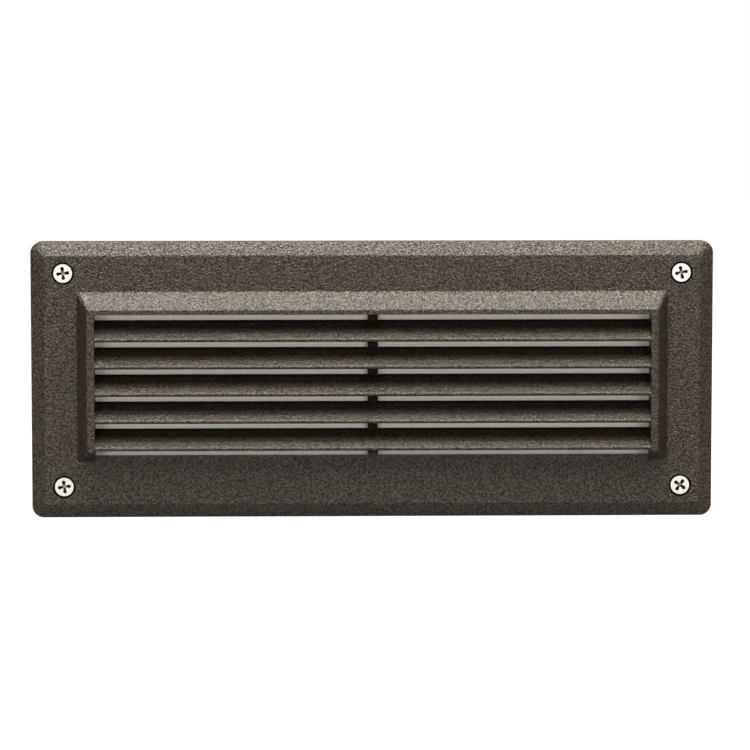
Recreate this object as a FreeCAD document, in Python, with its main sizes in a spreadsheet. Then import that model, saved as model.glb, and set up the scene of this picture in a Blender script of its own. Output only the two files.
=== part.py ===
import FreeCAD, Part
import math
import os
import re
import Sketcher

# Recessed louvred step light: a die-cast back box set in a wall or a step riser, and a
# faceplate with a louvred hood that covers it. Millimetres. X runs to the right, Z up and
# Y into the wall. The origin is the centre of the faceplate's outline, in the wall's plane.
# A "depth" is measured from the wall's plane towards the viewer, so it is minus Y.

DRIVING_SIZES = {
    # faceplate: outline, skirt and bevel
    "plate_width": 235.0,
    "plate_height": 95.25,
    "plate_corner": 4.0,
    "plate_wall": 2.6,
    "face_depth": 8.4,
    "rim_depth": 6.0,
    "bevel_run": 4.76,
    "bevel_corner": 1.2,
    "skirt_wall": 3.6,
    "skirt_gap": 0.3,
    "rim_round": 0.8,
    # hood on the faceplate
    "hood_depth": 6.5,
    "hood_side_margin": 15.9,
    "hood_top_margin": 17.3,
    "hood_bottom_margin": 19.7,
    "hood_side_run": 3.6,
    "hood_top_run": 5.65,
    "hood_bottom_run": 3.5,
    "hood_foot_corner": 1.6,
    "hood_front_corner": 1.2,
    "hood_round": 0.6,
    "hood_foot_round": 0.9,
    "side_lip": 2.5,
    "top_lip": 1.7,
    "window_draft": 1.2,
    "sill_margin": 21.55,
    # louvres and the rib behind them
    "blade_count": 5,
    "blade_thickness": 1.4,
    "blade_run": 8.3,
    "blade_slope": 35.8,
    "blade_root": 0.8,
    "last_blade_gap": 0.6,
    "rib_width": 3.5,
    "rib_setback": 7.6,
    # face screws, number 6 countersunk
    "screw_inset_x": 11.2,
    "screw_inset_z": 10.8,
    "screw_head_radius": 3.325,
    "screw_head_edge": 0.15,
    "screw_shank_radius": 1.75,
    "screw_length": 8.2,
    "screw_tip_chamfer": 0.4,
    "screw_seat_gap": 0.05,
    "countersink_radius": 3.7,
    "countersink_angle": 82.0,
    "plate_hole_radius": 2.1,
    "thread_clearance": 0.05,
    "retainer_radius": 2.9,
    "retainer_thickness": 0.8,
    "retainer_gap": 0.1,
    # face gasket and flange
    "gasket_thickness": 1.6,
    "gasket_edge": 0.6,
    "gasket_hole_radius": 3.2,
    "flange_gap": 0.6,
    # lens, its gasket, clips and bosses
    "lens_overlap": 3.2,
    "lens_thickness": 3.2,
    "lens_corner": 3.0,
    "lens_arris": 0.4,
    "lens_gasket_thickness": 1.0,
    "lens_gasket_width": 3.0,
    "clip_inset": 36.0,
    "clip_width": 9.0,
    "clip_thickness": 1.0,
    "clip_grip": 2.6,
    "clip_corner": 1.0,
    "clip_boss_radius": 2.6,
    "clip_boss_gap": 0.6,
    "clip_screw_radius": 1.25,
    "clip_screw_length": 4.4,
    "clip_head_radius": 2.3,
    "clip_head_height": 1.6,
    "clip_head_edge": 0.5,
    "pilot_clearance": 0.05,
    # housing
    "mouth_side_gap": 4.3,
    "mouth_rise_gap": 0.9,
    "mouth_corner": 8.0,
    "step_wall": 2.5,
    "step_depth": 5.0,
    "step_floor": 3.0,
    "ledge_side": 4.5,
    "ledge_rise": 9.0,
    "body_depth": 65.0,
    "body_wall": 3.0,
    "body_draft": 1.0,
    "cavity_corner": 3.0,
    "body_back_edge": 1.5,
    "standoff_inset": 28.5,
    "standoff_radius": 3.6,
    "gusset_spacing": 60.0,
    "gusset_thickness": 3.0,
    "gusset_length": 16.0,
    "mount_hole_inset": 10.0,
    "mount_hole_radius": 2.5,
    # reflector
    "reflector_sheet": 0.8,
    "reflector_front": 9.0,
    "reflector_back": 36.0,
    "reflector_gap": 0.5,
    "reflector_lip": 1.5,
    "reflector_flare_side": 12.0,
    "reflector_flare_rise": 9.0,
    "reflector_corner": 4.0,
    "reflector_screw_length": 9.0,
    "reflector_hole_radius": 1.5,
    # lampholder bracket
    "bracket_sheet": 1.0,
    "bracket_span": 60.0,
    "bracket_width": 18.0,
    "bracket_height": 26.0,
    "bracket_bend": 2.0,
    "bracket_room": 1.5,
    "bracket_leg_corner": 4.0,
    "rivet_spread": 20.0,
    "rivet_radius": 1.55,
    "rivet_head_radius": 3.0,
    "rivet_head_height": 0.9,
    "rivet_tail_radius": 2.3,
    "rivet_hole_gap": 0.05,
    # lampholders and contacts
    "lamp_axis": 20.0,
    "holder_neck_radius": 6.0,
    "holder_neck_gap": 0.2,
    "holder_rear": 13.0,
    "holder_collar_radius": 8.6,
    "holder_collar": 2.0,
    "holder_cup_radius": 7.4,
    "holder_cup": 10.0,
    "holder_barb": 0.9,
    "holder_barb_length": 2.4,
    "holder_barb_width": 3.0,
    "holder_barb_gap": 0.15,
    "slot_depth": 9.0,
    "slot_side_gap": 0.35,
    "contact_gap": 0.15,
    "contact_thickness": 0.4,
    "contact_width": 3.0,
    "contact_offset": 2.4,
    "contact_back_gap": 0.1,
    "contact_mouth": 1.5,
    "contact_end_gap": 0.3,
    # wedge-base lamps
    "lamp_radius": 8.0,
    "lamp_glass_length": 29.5,
    "lamp_shoulder": 4.8,
    "lamp_neck_radius": 4.8,
    "lamp_wall": 0.8,
    "lamp_base_wall": 1.2,
    "lamp_seat_gap": 0.4,
    "wedge_width": 9.5,
    "wedge_thickness": 2.1,
    "wedge_length": 8.5,
    "filament_post_radius": 0.3,
    "filament_post_spread": 2.4,
    "filament_reach": 13.0,
    "filament_radius": 0.55,
    # grommet and leads
    "grommet_bore": 4.6,
    "grommet_neck": 5.4,
    "grommet_gap": 0.1,
    "grommet_flange": 6.9,
    "grommet_lip": 1.2,
    "bracket_grommet_gap": 0.4,
    "lead_radius": 0.9,
    "lead_hole_gap": 0.1,
    "lead_insert": 3.0,
    "lead_pair": 2.5,
    "lead_lane": 2.4,
    # terminal block
    "block_start": 26.0,
    "block_length": 20.0,
    "block_width": 22.0,
    "block_height": 12.0,
    "block_entry_height": 5.0,
    "pole_near": 2.1,
    "pole_far": 6.3,
    "terminal_row": 6.0,
    "terminal_screw_radius": 1.4,
    "terminal_screw_height": 2.2,
    "terminal_well": 3.4,
    "terminal_well_gap": 0.15,
    # cable gland
    "gland_place": 38.0,
    "gland_thread": 7.9,
    "gland_hole_gap": 0.2,
    "gland_bore": 4.2,
    "gland_hex": 22.0,
    "gland_hex_height": 5.0,
    "gland_inner_stem": 9.0,
    "gland_barrel": 9.0,
    "gland_seal_wall": 1.6,
    "gland_washer": 1.0,
    "gland_nut_height": 4.0,
    "gland_cap_height": 11.0,
    "gland_cap_lid": 2.4,
    "gland_cap_radius": 10.4,
    "gland_cap_gap": 0.5,
    "gland_cap_flats": 19.4,
    "gland_cap_grip": 6.6,
    "gland_pad": 2.0,
    "gland_pad_radius": 13.5,
    # closed cable entry at the end
    "entry_radius": 10.0,
    "entry_boss": 3.0,
    "entry_boss_wall": 3.5,
    "entry_place": 49.5,
    "plug_gap": 0.1,
    "plug_stem": 7.0,
    "plug_head_radius": 12.5,
    "plug_head": 2.6,
    "plug_hex": 10.0,
    "plug_socket": 4.1,
    "plug_edge": 0.6,
    "plug_seal_inset": 0.5,
    "plug_seal": 1.0,
    # how far a cut runs past what it cuts, and a form into what it joins
    "cut_margin": 1.0,
    "join_depth": 0.5,
}

# Sizes that follow from the driving ones: what seats, passes through or lines up.
DERIVED_SIZES = {
    "half_width": "plate_width / 2",
    "half_height": "plate_height / 2",
    "face_inner": "face_depth - plate_wall",
    "flange_front": "face_inner - gasket_thickness",
    "hood_front": "face_depth + hood_depth",
    "screw_x": "half_width - screw_inset_x",
    "screw_z": "half_height - screw_inset_z",
    "hood_foot_x": "half_width - hood_side_margin",
    "hood_foot_top": "half_height - hood_top_margin",
    "hood_foot_bottom": "half_height - hood_bottom_margin",
    "hood_front_x": "hood_foot_x - hood_side_run",
    "hood_front_top": "hood_foot_top - hood_top_run",
    "hood_front_bottom": "hood_foot_bottom - hood_bottom_run",
    "window_x": "hood_front_x - side_lip",
    "window_top": "hood_front_top - top_lip",
    "sill": "half_height - sill_margin",
    "blade_radius": "blade_thickness / 2",
    "last_blade_bottom": "hood_front_bottom - last_blade_gap",
    "blade_pitch": "(window_top + last_blade_bottom) / blade_count",
    "first_blade": "window_top - blade_pitch + blade_radius",
    "lens_x": "window_x + lens_overlap",
    "lens_top": "window_top + window_draft + lens_overlap",
    "lens_bottom": "sill + lens_overlap",
    "lens_mid": "(lens_top - lens_bottom) / 2",
    "lens_z": "(lens_top + lens_bottom) / 2",
    "lens_front": "face_inner - lens_gasket_thickness",
    "lens_back": "lens_front - lens_thickness",
    "clip_back": "lens_back - clip_thickness",
    "clip_x": "lens_x - clip_inset",
    "clip_top": "lens_top + clip_boss_gap + clip_boss_radius",
    "clip_bottom": "lens_bottom + clip_boss_gap + clip_boss_radius",
    "screw_taper": "tan(countersink_angle * 1 deg / 2)",
    "screw_head_sink": "(countersink_radius - screw_head_radius) / screw_taper - screw_seat_gap",
    "screw_edge": "face_depth - screw_head_sink",
    "screw_neck": "screw_edge - (screw_head_radius - screw_shank_radius) / screw_taper",
    "screw_end": "screw_edge - screw_length",
    "flange_x": "half_width - skirt_wall - flange_gap",
    "flange_z": "half_height - skirt_wall - flange_gap",
    "mouth_x": "lens_x + mouth_side_gap",
    "mouth_z": "clip_bottom + clip_boss_radius + mouth_rise_gap",
    "cavity_x": "mouth_x - ledge_side",
    "cavity_z": "mouth_z - ledge_rise",
    "body_x": "cavity_x + body_wall",
    "body_z": "cavity_z + body_wall",
    "floor": "body_depth - body_wall",
    "reflector_x": "cavity_x - reflector_gap - reflector_lip",
    "reflector_z": "cavity_z - reflector_gap - reflector_lip",
    "reflector_rear": "reflector_back + reflector_sheet",
    "reflector_room": "reflector_z - reflector_sheet - bracket_width / 2 - bracket_room",
    "reflector_rise": "min(reflector_flare_rise; reflector_room)",
    "standoff_x": "cavity_x - standoff_inset",
    "reflector_screw_start": "reflector_back - clip_head_height",
    "bracket_leg": "bracket_span / 2",
    "bracket_front": "reflector_back - bracket_height",
    "bracket_base": "reflector_back - bracket_sheet",
    "holder_face": "bracket_leg + holder_collar + holder_cup",
    "wedge_tip": "holder_face - wedge_length",
    "slot_bottom": "holder_face - slot_depth",
    "slot_z": "wedge_width / 2 + slot_side_gap",
    "contact_inner": "wedge_thickness / 2 + contact_gap",
    "contact_outer": "contact_inner + contact_thickness",
    "slot_y": "contact_outer + contact_back_gap",
    "lamp_start": "holder_face + lamp_seat_gap",
    "holder_back": "bracket_leg - holder_rear",
    "block_front": "floor - block_height",
    "block_entry": "floor - block_entry_height",
    "block_end": "block_start + block_length",
    "pad_face": "body_depth + gland_pad",
    "gland_hex_start": "pad_face + gland_washer",
    "gland_hex_end": "gland_hex_start + gland_hex_height",
    "gland_end": "gland_hex_end + gland_barrel",
    "gland_cap_start": "gland_hex_end + gland_cap_gap",
    "gland_cap_end": "gland_cap_start + gland_cap_height",
    "entry_face": "body_x + entry_boss",
    "plug_head_start": "entry_face + plug_seal",
    "plug_head_end": "plug_head_start + plug_head",
}

FULL_TURN = 360.0
COINCIDENT = 1e-6

doc = FreeCAD.newDocument("step_light")
sheet = doc.addObject("Spreadsheet::Sheet", "sizes")
for row, (alias, number) in enumerate(DRIVING_SIZES.items(), start=1):
    sheet.set(f"A{row}", alias.replace("_", " "))
    sheet.set(f"B{row}", str(number))
    sheet.setAlias(f"B{row}", alias)
doc.recompute()


# ---- expressions -------------------------------------------------------------------


def cells(text):
    """An expression in plain size names, written with the sheet's cells."""

    def swap(match):
        name = match.group(0)
        if name in DERIVED_SIZES:
            return f"({cells(DERIVED_SIZES[name])})"
        return f"sizes.{name}" if name in DRIVING_SIZES else name

    return re.sub(r"[a-z]+(_[a-z]+)*", swap, str(text))


def value(text):
    return float(sheet.evalExpression(cells(text)))


def bind(thing, prop, text):
    thing.setExpression(prop, cells(text))


# ---- sketches ----------------------------------------------------------------------


def new_body(label):
    body = doc.addObject("PartDesign::Body", label)
    body.Label = label
    return body


def origin_part(body, role):
    return next(f for f in body.Origin.OriginFeatures if f.Role == role)


def new_sketch(body, name, plane, off="0", across="0", up="0"):
    """A sketch on one of the body's own planes, moved along its normal and in its plane."""
    sketch = body.newObject("Sketcher::SketchObject", name)
    sketch.AttachmentSupport = [(origin_part(body, plane), "")]
    sketch.MapMode = "FlatFace"
    for axis, shift in (("x", across), ("y", up), ("z", off)):
        bind(sketch, f"AttachmentOffset.Base.{axis}", shift)
    return sketch


def hold(sketch, kind, geometry, number, text, tag):
    constraint = sketch.addConstraint(Sketcher.Constraint(kind, *geometry, number))
    sketch.renameConstraint(constraint, tag)
    bind(sketch, f"Constraints.{tag}", text)


def pin_point(sketch, edge, end, x, y, tag):
    """Holds a point at a distance from the sketch's origin, along both its axes."""
    for kind, text, axis in (("DistanceX", x, -2), ("DistanceY", y, -1)):
        number = value(text)
        name = f"{tag}_{kind[-1].lower()}"
        if abs(number) < COINCIDENT:
            sketch.addConstraint(Sketcher.Constraint("PointOnObject", edge, end, axis))
        elif number > 0:
            hold(sketch, kind, (-1, 1, edge, end), number, text, name)
        else:
            hold(sketch, kind, (edge, end, -1, 1), -number, f"-({text})", name)


def arc_between(start, end, radius, turn):
    """The shorter arc between two points; turn is 1 with its centre on the path's left."""
    chord = end - start
    half = chord.Length / 2
    rise = radius - math.sqrt(max(0.0, radius**2 - half**2))
    outward = FreeCAD.Vector(chord.y, -chord.x, 0) * (turn * rise / chord.Length)
    return Part.Arc(start, (start + end) * 0.5 + outward, end)


def outline(sketch, corners, tag="p"):
    """A closed outline. A corner is (x, y), or (x, y, radius, turn) where an arc leaves it."""
    points = [FreeCAD.Vector(value(c[0]), value(c[1]), 0) for c in corners]
    ends = points[1:] + points[:1]
    edges = []
    for corner, start, end in zip(corners, points, ends):
        if len(corner) == 2:
            edges.append(sketch.addGeometry(Part.LineSegment(start, end)))
        else:
            arc = arc_between(start, end, value(corner[2]), corner[3])
            edges.append(sketch.addGeometry(arc))
            hold(sketch, "Radius", (edges[-1],), value(corner[2]), corner[2], f"{tag}{len(edges)}_r")

    def end_at(edge, point):
        near = [sketch.getPoint(edge, end).distanceToPoint(point) for end in (1, 2)]
        return 1 if near[0] < near[1] else 2

    for i, corner in enumerate(corners):
        here = (edges[i], end_at(edges[i], points[i]))
        before = (edges[i - 1], end_at(edges[i - 1], points[i]))
        sketch.addConstraint(Sketcher.Constraint("Coincident", *before, *here))
        pin_point(sketch, *here, corner[0], corner[1], f"{tag}{i + 1}")


def rounded_rectangle(sketch, half_x, half_y, radius, mid_x="0", mid_y="0", tag="p"):
    flat_x, flat_y = f"({half_x} - {radius})", f"({half_y} - {radius})"
    ways = (
        (f"-{flat_x}", f"-({half_y})", False),
        (flat_x, f"-({half_y})", True),
        (f"({half_x})", f"-{flat_y}", False),
        (f"({half_x})", flat_y, True),
        (flat_x, f"({half_y})", False),
        (f"-{flat_x}", f"({half_y})", True),
        (f"-({half_x})", flat_y, False),
        (f"-({half_x})", f"-{flat_y}", True),
    )
    corners = []
    for x, y, is_round in ways:
        place = (f"{mid_x} + {x}", f"{mid_y} + {y}")
        corners.append(place + (radius, 1) if is_round else place)
    outline(sketch, corners, tag)


def circle(sketch, x, y, radius, tag="c"):
    centre = FreeCAD.Vector(value(x), value(y), 0)
    edge = sketch.addGeometry(Part.Circle(centre, FreeCAD.Vector(0, 0, 1), value(radius)))
    hold(sketch, "Radius", (edge,), value(radius), radius, f"{tag}_r")
    pin_point(sketch, edge, 3, x, y, tag)


def circles(sketch, places, radius, tag="c"):
    for i, (x, y) in enumerate(places, start=1):
        circle(sketch, x, y, radius, f"{tag}{i}")


def hexagon(sketch, across_flats, tag="h"):
    """A six-sided outline about the sketch's origin, with two flats level."""
    reach, half = f"({across_flats} / sqrt(3))", f"({across_flats} / 2)"
    outline(
        sketch,
        [
            (reach, "0"),
            (f"{reach} / 2", half),
            (f"-{reach} / 2", half),
            (f"-{reach}", "0"),
            (f"-{reach} / 2", f"-{half}"),
            (f"{reach} / 2", f"-{half}"),
        ],
        tag,
    )


# ---- features ----------------------------------------------------------------------


def swept(body, kind, name, sketch, length=None, both_ways=False, reverse=False):
    feature = body.newObject(f"PartDesign::{kind}", name)
    feature.Profile = sketch
    if length is None:
        feature.Type = "ThroughAll"
    else:
        bind(feature, "Length", length)
    if both_ways:
        feature.SideType = "Symmetric"
    feature.Reversed = reverse
    return feature


def pad(body, name, sketch, length, **way):
    return swept(body, "Pad", name, sketch, length, **way)


def pocket(body, name, sketch, length=None, **way):
    return swept(body, "Pocket", name, sketch, length, **way)


def loft(body, kind, name, first, last):
    feature = body.newObject(f"PartDesign::{kind}Loft", name)
    feature.Profile = first
    feature.Sections = [last]
    feature.Ruled = True
    return feature


def revolve(body, name, sketch, axis="V_Axis"):
    feature = body.newObject("PartDesign::Revolution", name)
    feature.Profile = sketch
    feature.ReferenceAxis = (sketch, [axis])
    feature.Angle = FULL_TURN
    return feature


def mirror_whole(body, name, plane):
    feature = body.newObject("PartDesign::Mirrored", name)
    feature.TransformMode = "Whole shape"
    feature.MirrorPlane = (origin_part(body, plane), [""])
    body.Tip = feature
    return feature


def row_of(body, name, original, axis, length, count, reverse=False):
    feature = body.newObject("PartDesign::LinearPattern", name)
    feature.Originals = [original]
    feature.Direction = (origin_part(body, axis), [""])
    feature.Reversed = reverse
    bind(feature, "Length", length)
    bind(feature, "Occurrences", count)
    body.Tip = feature
    return feature


def dress(body, kind, name, base, size_name, size, belongs):
    """A fillet or chamfer on the edges whose ends and middle all pass the test."""
    doc.recompute()
    feature = body.newObject(f"PartDesign::{kind}", name)
    picked = []
    for i, edge in enumerate(base.Shape.Edges, start=1):
        marks = [v.Point for v in edge.Vertexes] + [edge.CenterOfMass]
        if all(belongs(mark) for mark in marks):
            picked.append(f"Edge{i}")
    feature.Base = (base, picked)
    bind(feature, size_name, size)
    return feature


def at_depth(depth):
    level = -value(depth)
    return lambda point: abs(point.y - level) < COINCIDENT * 10


def four(x, z):
    return [(x, z), (f"-({x})", z), (f"-({x})", f"-({z})"), (x, f"-({z})")]


def clip_places():
    return [
        ("clip_x", "clip_top"),
        ("-clip_x", "clip_top"),
        ("-clip_x", "-clip_bottom"),
        ("clip_x", "-clip_bottom"),
    ]


def half_turn(body):
    """The left-hand piece is the right-hand one turned half round about the Y axis."""
    body.Placement = FreeCAD.Placement(
        FreeCAD.Vector(0, 0, 0), FreeCAD.Rotation(FreeCAD.Vector(0, 1, 0), FULL_TURN / 2)
    )


# ---- faceplate ---------------------------------------------------------------------


def make_faceplate():
    body = new_body("faceplate")
    rim = new_sketch(body, "rim_outline", "XZ_Plane", "skirt_gap")
    rounded_rectangle(rim, "half_width", "half_height", "plate_corner")
    pad(body, "rim", rim, "rim_depth - skirt_gap")

    bevel_foot = new_sketch(body, "bevel_foot", "XZ_Plane", "rim_depth")
    rounded_rectangle(bevel_foot, "half_width", "half_height", "plate_corner")
    bevel_top = new_sketch(body, "bevel_top", "XZ_Plane", "face_depth")
    rounded_rectangle(
        bevel_top, "(half_width - bevel_run)", "(half_height - bevel_run)", "bevel_corner"
    )
    bevel = loft(body, "Additive", "bevel", bevel_foot, bevel_top)
    rim_edges, face_edges = at_depth("rim_depth"), at_depth("face_depth")
    dress(
        body, "Fillet", "rim_rounding", bevel, "Radius", "rim_round",
        lambda point: rim_edges(point) or face_edges(point),
    )

    # the hood: a low frustum with a wide sloping top and steep sides
    foot = new_sketch(
        body, "hood_foot", "XZ_Plane", "face_depth", "0", "(hood_foot_top - hood_foot_bottom) / 2"
    )
    rounded_rectangle(
        foot, "hood_foot_x", "((hood_foot_top + hood_foot_bottom) / 2)", "hood_foot_corner"
    )
    front = new_sketch(
        body, "hood_front", "XZ_Plane", "hood_front", "0", "(hood_front_top - hood_front_bottom) / 2"
    )
    rounded_rectangle(
        front, "hood_front_x", "((hood_front_top + hood_front_bottom) / 2)", "hood_front_corner"
    )
    hood = loft(body, "Additive", "hood", foot, front)
    hood_edges = at_depth("hood_front")
    rounded = dress(
        body, "Fillet", "hood_rounding", hood, "Radius", "hood_round", hood_edges
    )
    limit_x = value("hood_foot_x") + COINCIDENT
    dress(
        body, "Fillet", "hood_foot_rounding", rounded, "Radius", "hood_foot_round",
        lambda point: face_edges(point) and abs(point.x) < limit_x,
    )

    recess = new_sketch(body, "recess_outline", "XZ_Plane", "skirt_gap")
    rounded_rectangle(
        recess, "(half_width - skirt_wall)", "(half_height - skirt_wall)", "plate_corner / 2"
    )
    pocket(body, "recess", recess, "face_inner - skirt_gap", reverse=True)

    # the window runs from the recess to the hood's front, which is open at the bottom
    window = new_sketch(body, "window_profile", "YZ_Plane")
    outline(
        window,
        [
            ("-(face_inner - cut_margin)", "-sill"),
            ("-(face_inner - cut_margin)", "window_top + window_draft"),
            ("-hood_front", "window_top"),
            ("-(hood_front + cut_margin)", "window_top"),
            ("-(hood_front + cut_margin)", "-(hood_foot_bottom + cut_margin)"),
            ("-face_depth", "-(hood_foot_bottom + cut_margin)"),
            ("-face_depth", "-sill"),
        ],
    )
    pocket(body, "window", window, "2 * window_x", both_ways=True)
    make_louvres(body)

    screw_marks = new_sketch(body, "screw_marks", "XZ_Plane", "face_depth")
    circles(screw_marks, four("screw_x", "screw_z"), "plate_hole_radius")
    doc.recompute()
    holes = body.newObject("PartDesign::Hole", "screw_holes")
    holes.Profile = screw_marks
    doc.recompute()
    holes.ThreadType = "None"
    holes.DepthType = "ThroughAll"
    bind(holes, "Diameter", "2 * plate_hole_radius")
    holes.HoleCutType = "Countersink"
    holes.HoleCutCustomValues = True
    bind(holes, "HoleCutDiameter", "2 * countersink_radius")
    bind(holes, "HoleCutCountersinkAngle", "countersink_angle")

    bosses = new_sketch(body, "clip_bosses", "XZ_Plane", "lens_back")
    circles(bosses, clip_places(), "clip_boss_radius")
    pad(body, "bosses", bosses, "face_inner - lens_back")
    pilots = new_sketch(body, "clip_pilots", "XZ_Plane", "lens_back")
    circles(pilots, clip_places(), "clip_screw_radius + pilot_clearance")
    pocket(body, "pilot_holes", pilots, "clip_screw_length", reverse=True)
    return body


def make_louvres(body):
    """Round-nosed blades that climb towards the lens, and the rib that ties their backs."""
    blade = new_sketch(body, "blade_profile", "YZ_Plane")
    slope = math.radians(value("blade_slope"))
    radius = value("blade_radius")
    nose = FreeCAD.Vector(-value("hood_front - blade_radius"), value("first_blade"), 0)
    along = FreeCAD.Vector(math.cos(slope), math.sin(slope), 0)
    across = FreeCAD.Vector(-math.sin(slope), math.cos(slope), 0) * radius
    reach = (-value("hood_front - blade_run") - nose.x) / along.x
    lean = across.x / along.x
    back_top = nose + across + along * (reach - lean)
    back_bottom = nose - across + along * (reach + lean)
    top = blade.addGeometry(Part.LineSegment(nose + across, back_top))
    rear = blade.addGeometry(Part.LineSegment(back_top, back_bottom))
    bottom = blade.addGeometry(Part.LineSegment(back_bottom, nose - across))
    bow = Part.Circle(nose, FreeCAD.Vector(0, 0, 1), radius)
    quarter = math.pi / 2
    arc = blade.addGeometry(Part.ArcOfCircle(bow, slope + quarter, slope + 3 * quarter))
    for rule in (
        ("Coincident", top, 2, rear, 1),
        ("Coincident", rear, 2, bottom, 1),
        ("Tangent", top, 1, arc, 1),
        ("Tangent", bottom, 2, arc, 2),
        ("Vertical", rear),
        ("Parallel", top, bottom),
    ):
        blade.addConstraint(Sketcher.Constraint(*rule))
    hold(blade, "Radius", (arc,), radius, "blade_radius", "nose_radius")
    pin_point(blade, arc, 3, "-(hood_front - blade_radius)", "first_blade", "nose")
    hold(blade, "Angle", (top,), slope, "blade_slope * 1 deg", "slope")
    hold(
        blade, "DistanceX", (rear, 1, -1, 1), value("hood_front - blade_run"),
        "hood_front - blade_run", "rear",
    )
    first = pad(body, "first_louvre", blade, "2 * (window_x + blade_root)", both_ways=True)
    row_of(
        body, "louvres", first, "Z_Axis", "blade_pitch * (blade_count - 1)", "blade_count", reverse=True
    )

    rib = new_sketch(body, "rib_profile", "YZ_Plane")
    outline(
        rib,
        [
            ("-face_inner", "-(sill + blade_root)"),
            ("-face_inner", "window_top + blade_root"),
            ("-(hood_front - rib_setback)", "window_top + blade_root"),
            ("-(hood_front - rib_setback)", "-last_blade_bottom"),
            ("-face_depth", "-(sill + blade_root)"),
        ],
    )
    pad(body, "rib", rib, "rib_width", both_ways=True)


# ---- what rides on the faceplate ---------------------------------------------------


def make_face_screws():
    body = new_body("face_screws")
    half = new_sketch(body, "screw_profile", "XY_Plane", "screw_z", "screw_x")
    outline(
        half,
        [
            ("0", "-screw_end"),
            ("0", "-(screw_edge + screw_head_edge)"),
            ("screw_head_radius - screw_head_edge", "-(screw_edge + screw_head_edge)"),
            ("screw_head_radius", "-screw_edge"),
            ("screw_shank_radius", "-screw_neck"),
            ("screw_shank_radius", "-(screw_end + screw_tip_chamfer)"),
            ("screw_shank_radius - screw_tip_chamfer", "-screw_end"),
        ],
    )
    revolve(body, "screw", half)
    mirror_whole(body, "left_and_right", "YZ_Plane")
    mirror_whole(body, "top_and_bottom", "XY_Plane")
    return body


def make_screw_retainers():
    body = new_body("screw_retainers")
    ring = new_sketch(body, "ring", "XZ_Plane", "face_inner - retainer_gap - retainer_thickness")
    circles(ring, four("screw_x", "screw_z"), "retainer_radius", "outer")
    circles(ring, four("screw_x", "screw_z"), "screw_shank_radius + screw_seat_gap", "inner")
    pad(body, "rings", ring, "retainer_thickness")
    return body


def make_face_gasket():
    body = new_body("face_gasket")
    ring = new_sketch(body, "ring", "XZ_Plane", "flange_front")
    rounded_rectangle(
        ring, "(flange_x - gasket_edge)", "(flange_z - gasket_edge)", "plate_corner", tag="outer"
    )
    rounded_rectangle(
        ring, "(mouth_x + gasket_edge)", "(mouth_z + gasket_edge)", "mouth_corner", tag="inner"
    )
    circles(ring, four("screw_x", "screw_z"), "gasket_hole_radius")
    pad(body, "sheet", ring, "gasket_thickness")
    return body


def make_lens():
    body = new_body("lens")
    sheet_outline = new_sketch(body, "lens_outline", "XZ_Plane", "lens_back", "0", "lens_mid")
    rounded_rectangle(sheet_outline, "lens_x", "lens_z", "lens_corner")
    pane = pad(body, "pane", sheet_outline, "lens_thickness")
    back, front = at_depth("lens_back"), at_depth("lens_front")
    dress(
        body, "Chamfer", "arris", pane, "Size", "lens_arris",
        lambda point: back(point) or front(point),
    )
    return body


def make_lens_gasket():
    body = new_body("lens_gasket")
    ring = new_sketch(body, "ring", "XZ_Plane", "lens_front", "0", "lens_mid")
    rounded_rectangle(ring, "lens_x", "lens_z", "lens_corner", tag="outer")
    rounded_rectangle(
        ring, "(lens_x - lens_gasket_width)", "(lens_z - lens_gasket_width)", "lens_corner / 3",
        tag="inner",
    )
    pad(body, "sheet", ring, "lens_gasket_thickness")
    return body


def make_lens_clips():
    body = new_body("lens_clips")
    plan = new_sketch(body, "clip_plan", "XZ_Plane", "clip_back")
    half_rise = "((clip_boss_radius * 2 + clip_boss_gap + clip_grip) / 2)"
    for i, (x, z) in enumerate(clip_places(), start=1):
        inward = "-1" if value(z) > 0 else "1"
        mid = f"({z} + {inward} * ({half_rise} - clip_boss_radius))"
        rounded_rectangle(plan, "(clip_width / 2)", half_rise, "clip_corner", x, mid, f"plate{i}_")
    circles(plan, clip_places(), "clip_screw_radius + pilot_clearance", "hole")
    pad(body, "plates", plan, "clip_thickness")
    return body


def pan_screws(label, plane, places, head_face, under_head, length, reverse):
    """Small pan-head screws: shanks run from under the head, heads stand the other way."""
    body = new_body(label)
    shanks = new_sketch(body, "shanks", plane, under_head)
    circles(shanks, places, "clip_screw_radius")
    pad(body, "shank", shanks, length, reverse=reverse)
    heads = new_sketch(body, "heads", plane, under_head)
    circles(heads, places, "clip_head_radius")
    head = pad(body, "head", heads, "clip_head_height", reverse=not reverse)
    dress(body, "Chamfer", "pan", head, "Size", "clip_head_edge", at_depth(head_face))
    return body


def make_lens_clip_screws():
    return pan_screws(
        "lens_clip_screws", "XZ_Plane", clip_places(), "clip_back - clip_head_height", "clip_back",
        "clip_screw_length", False,
    )


# ---- housing -----------------------------------------------------------------------


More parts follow.
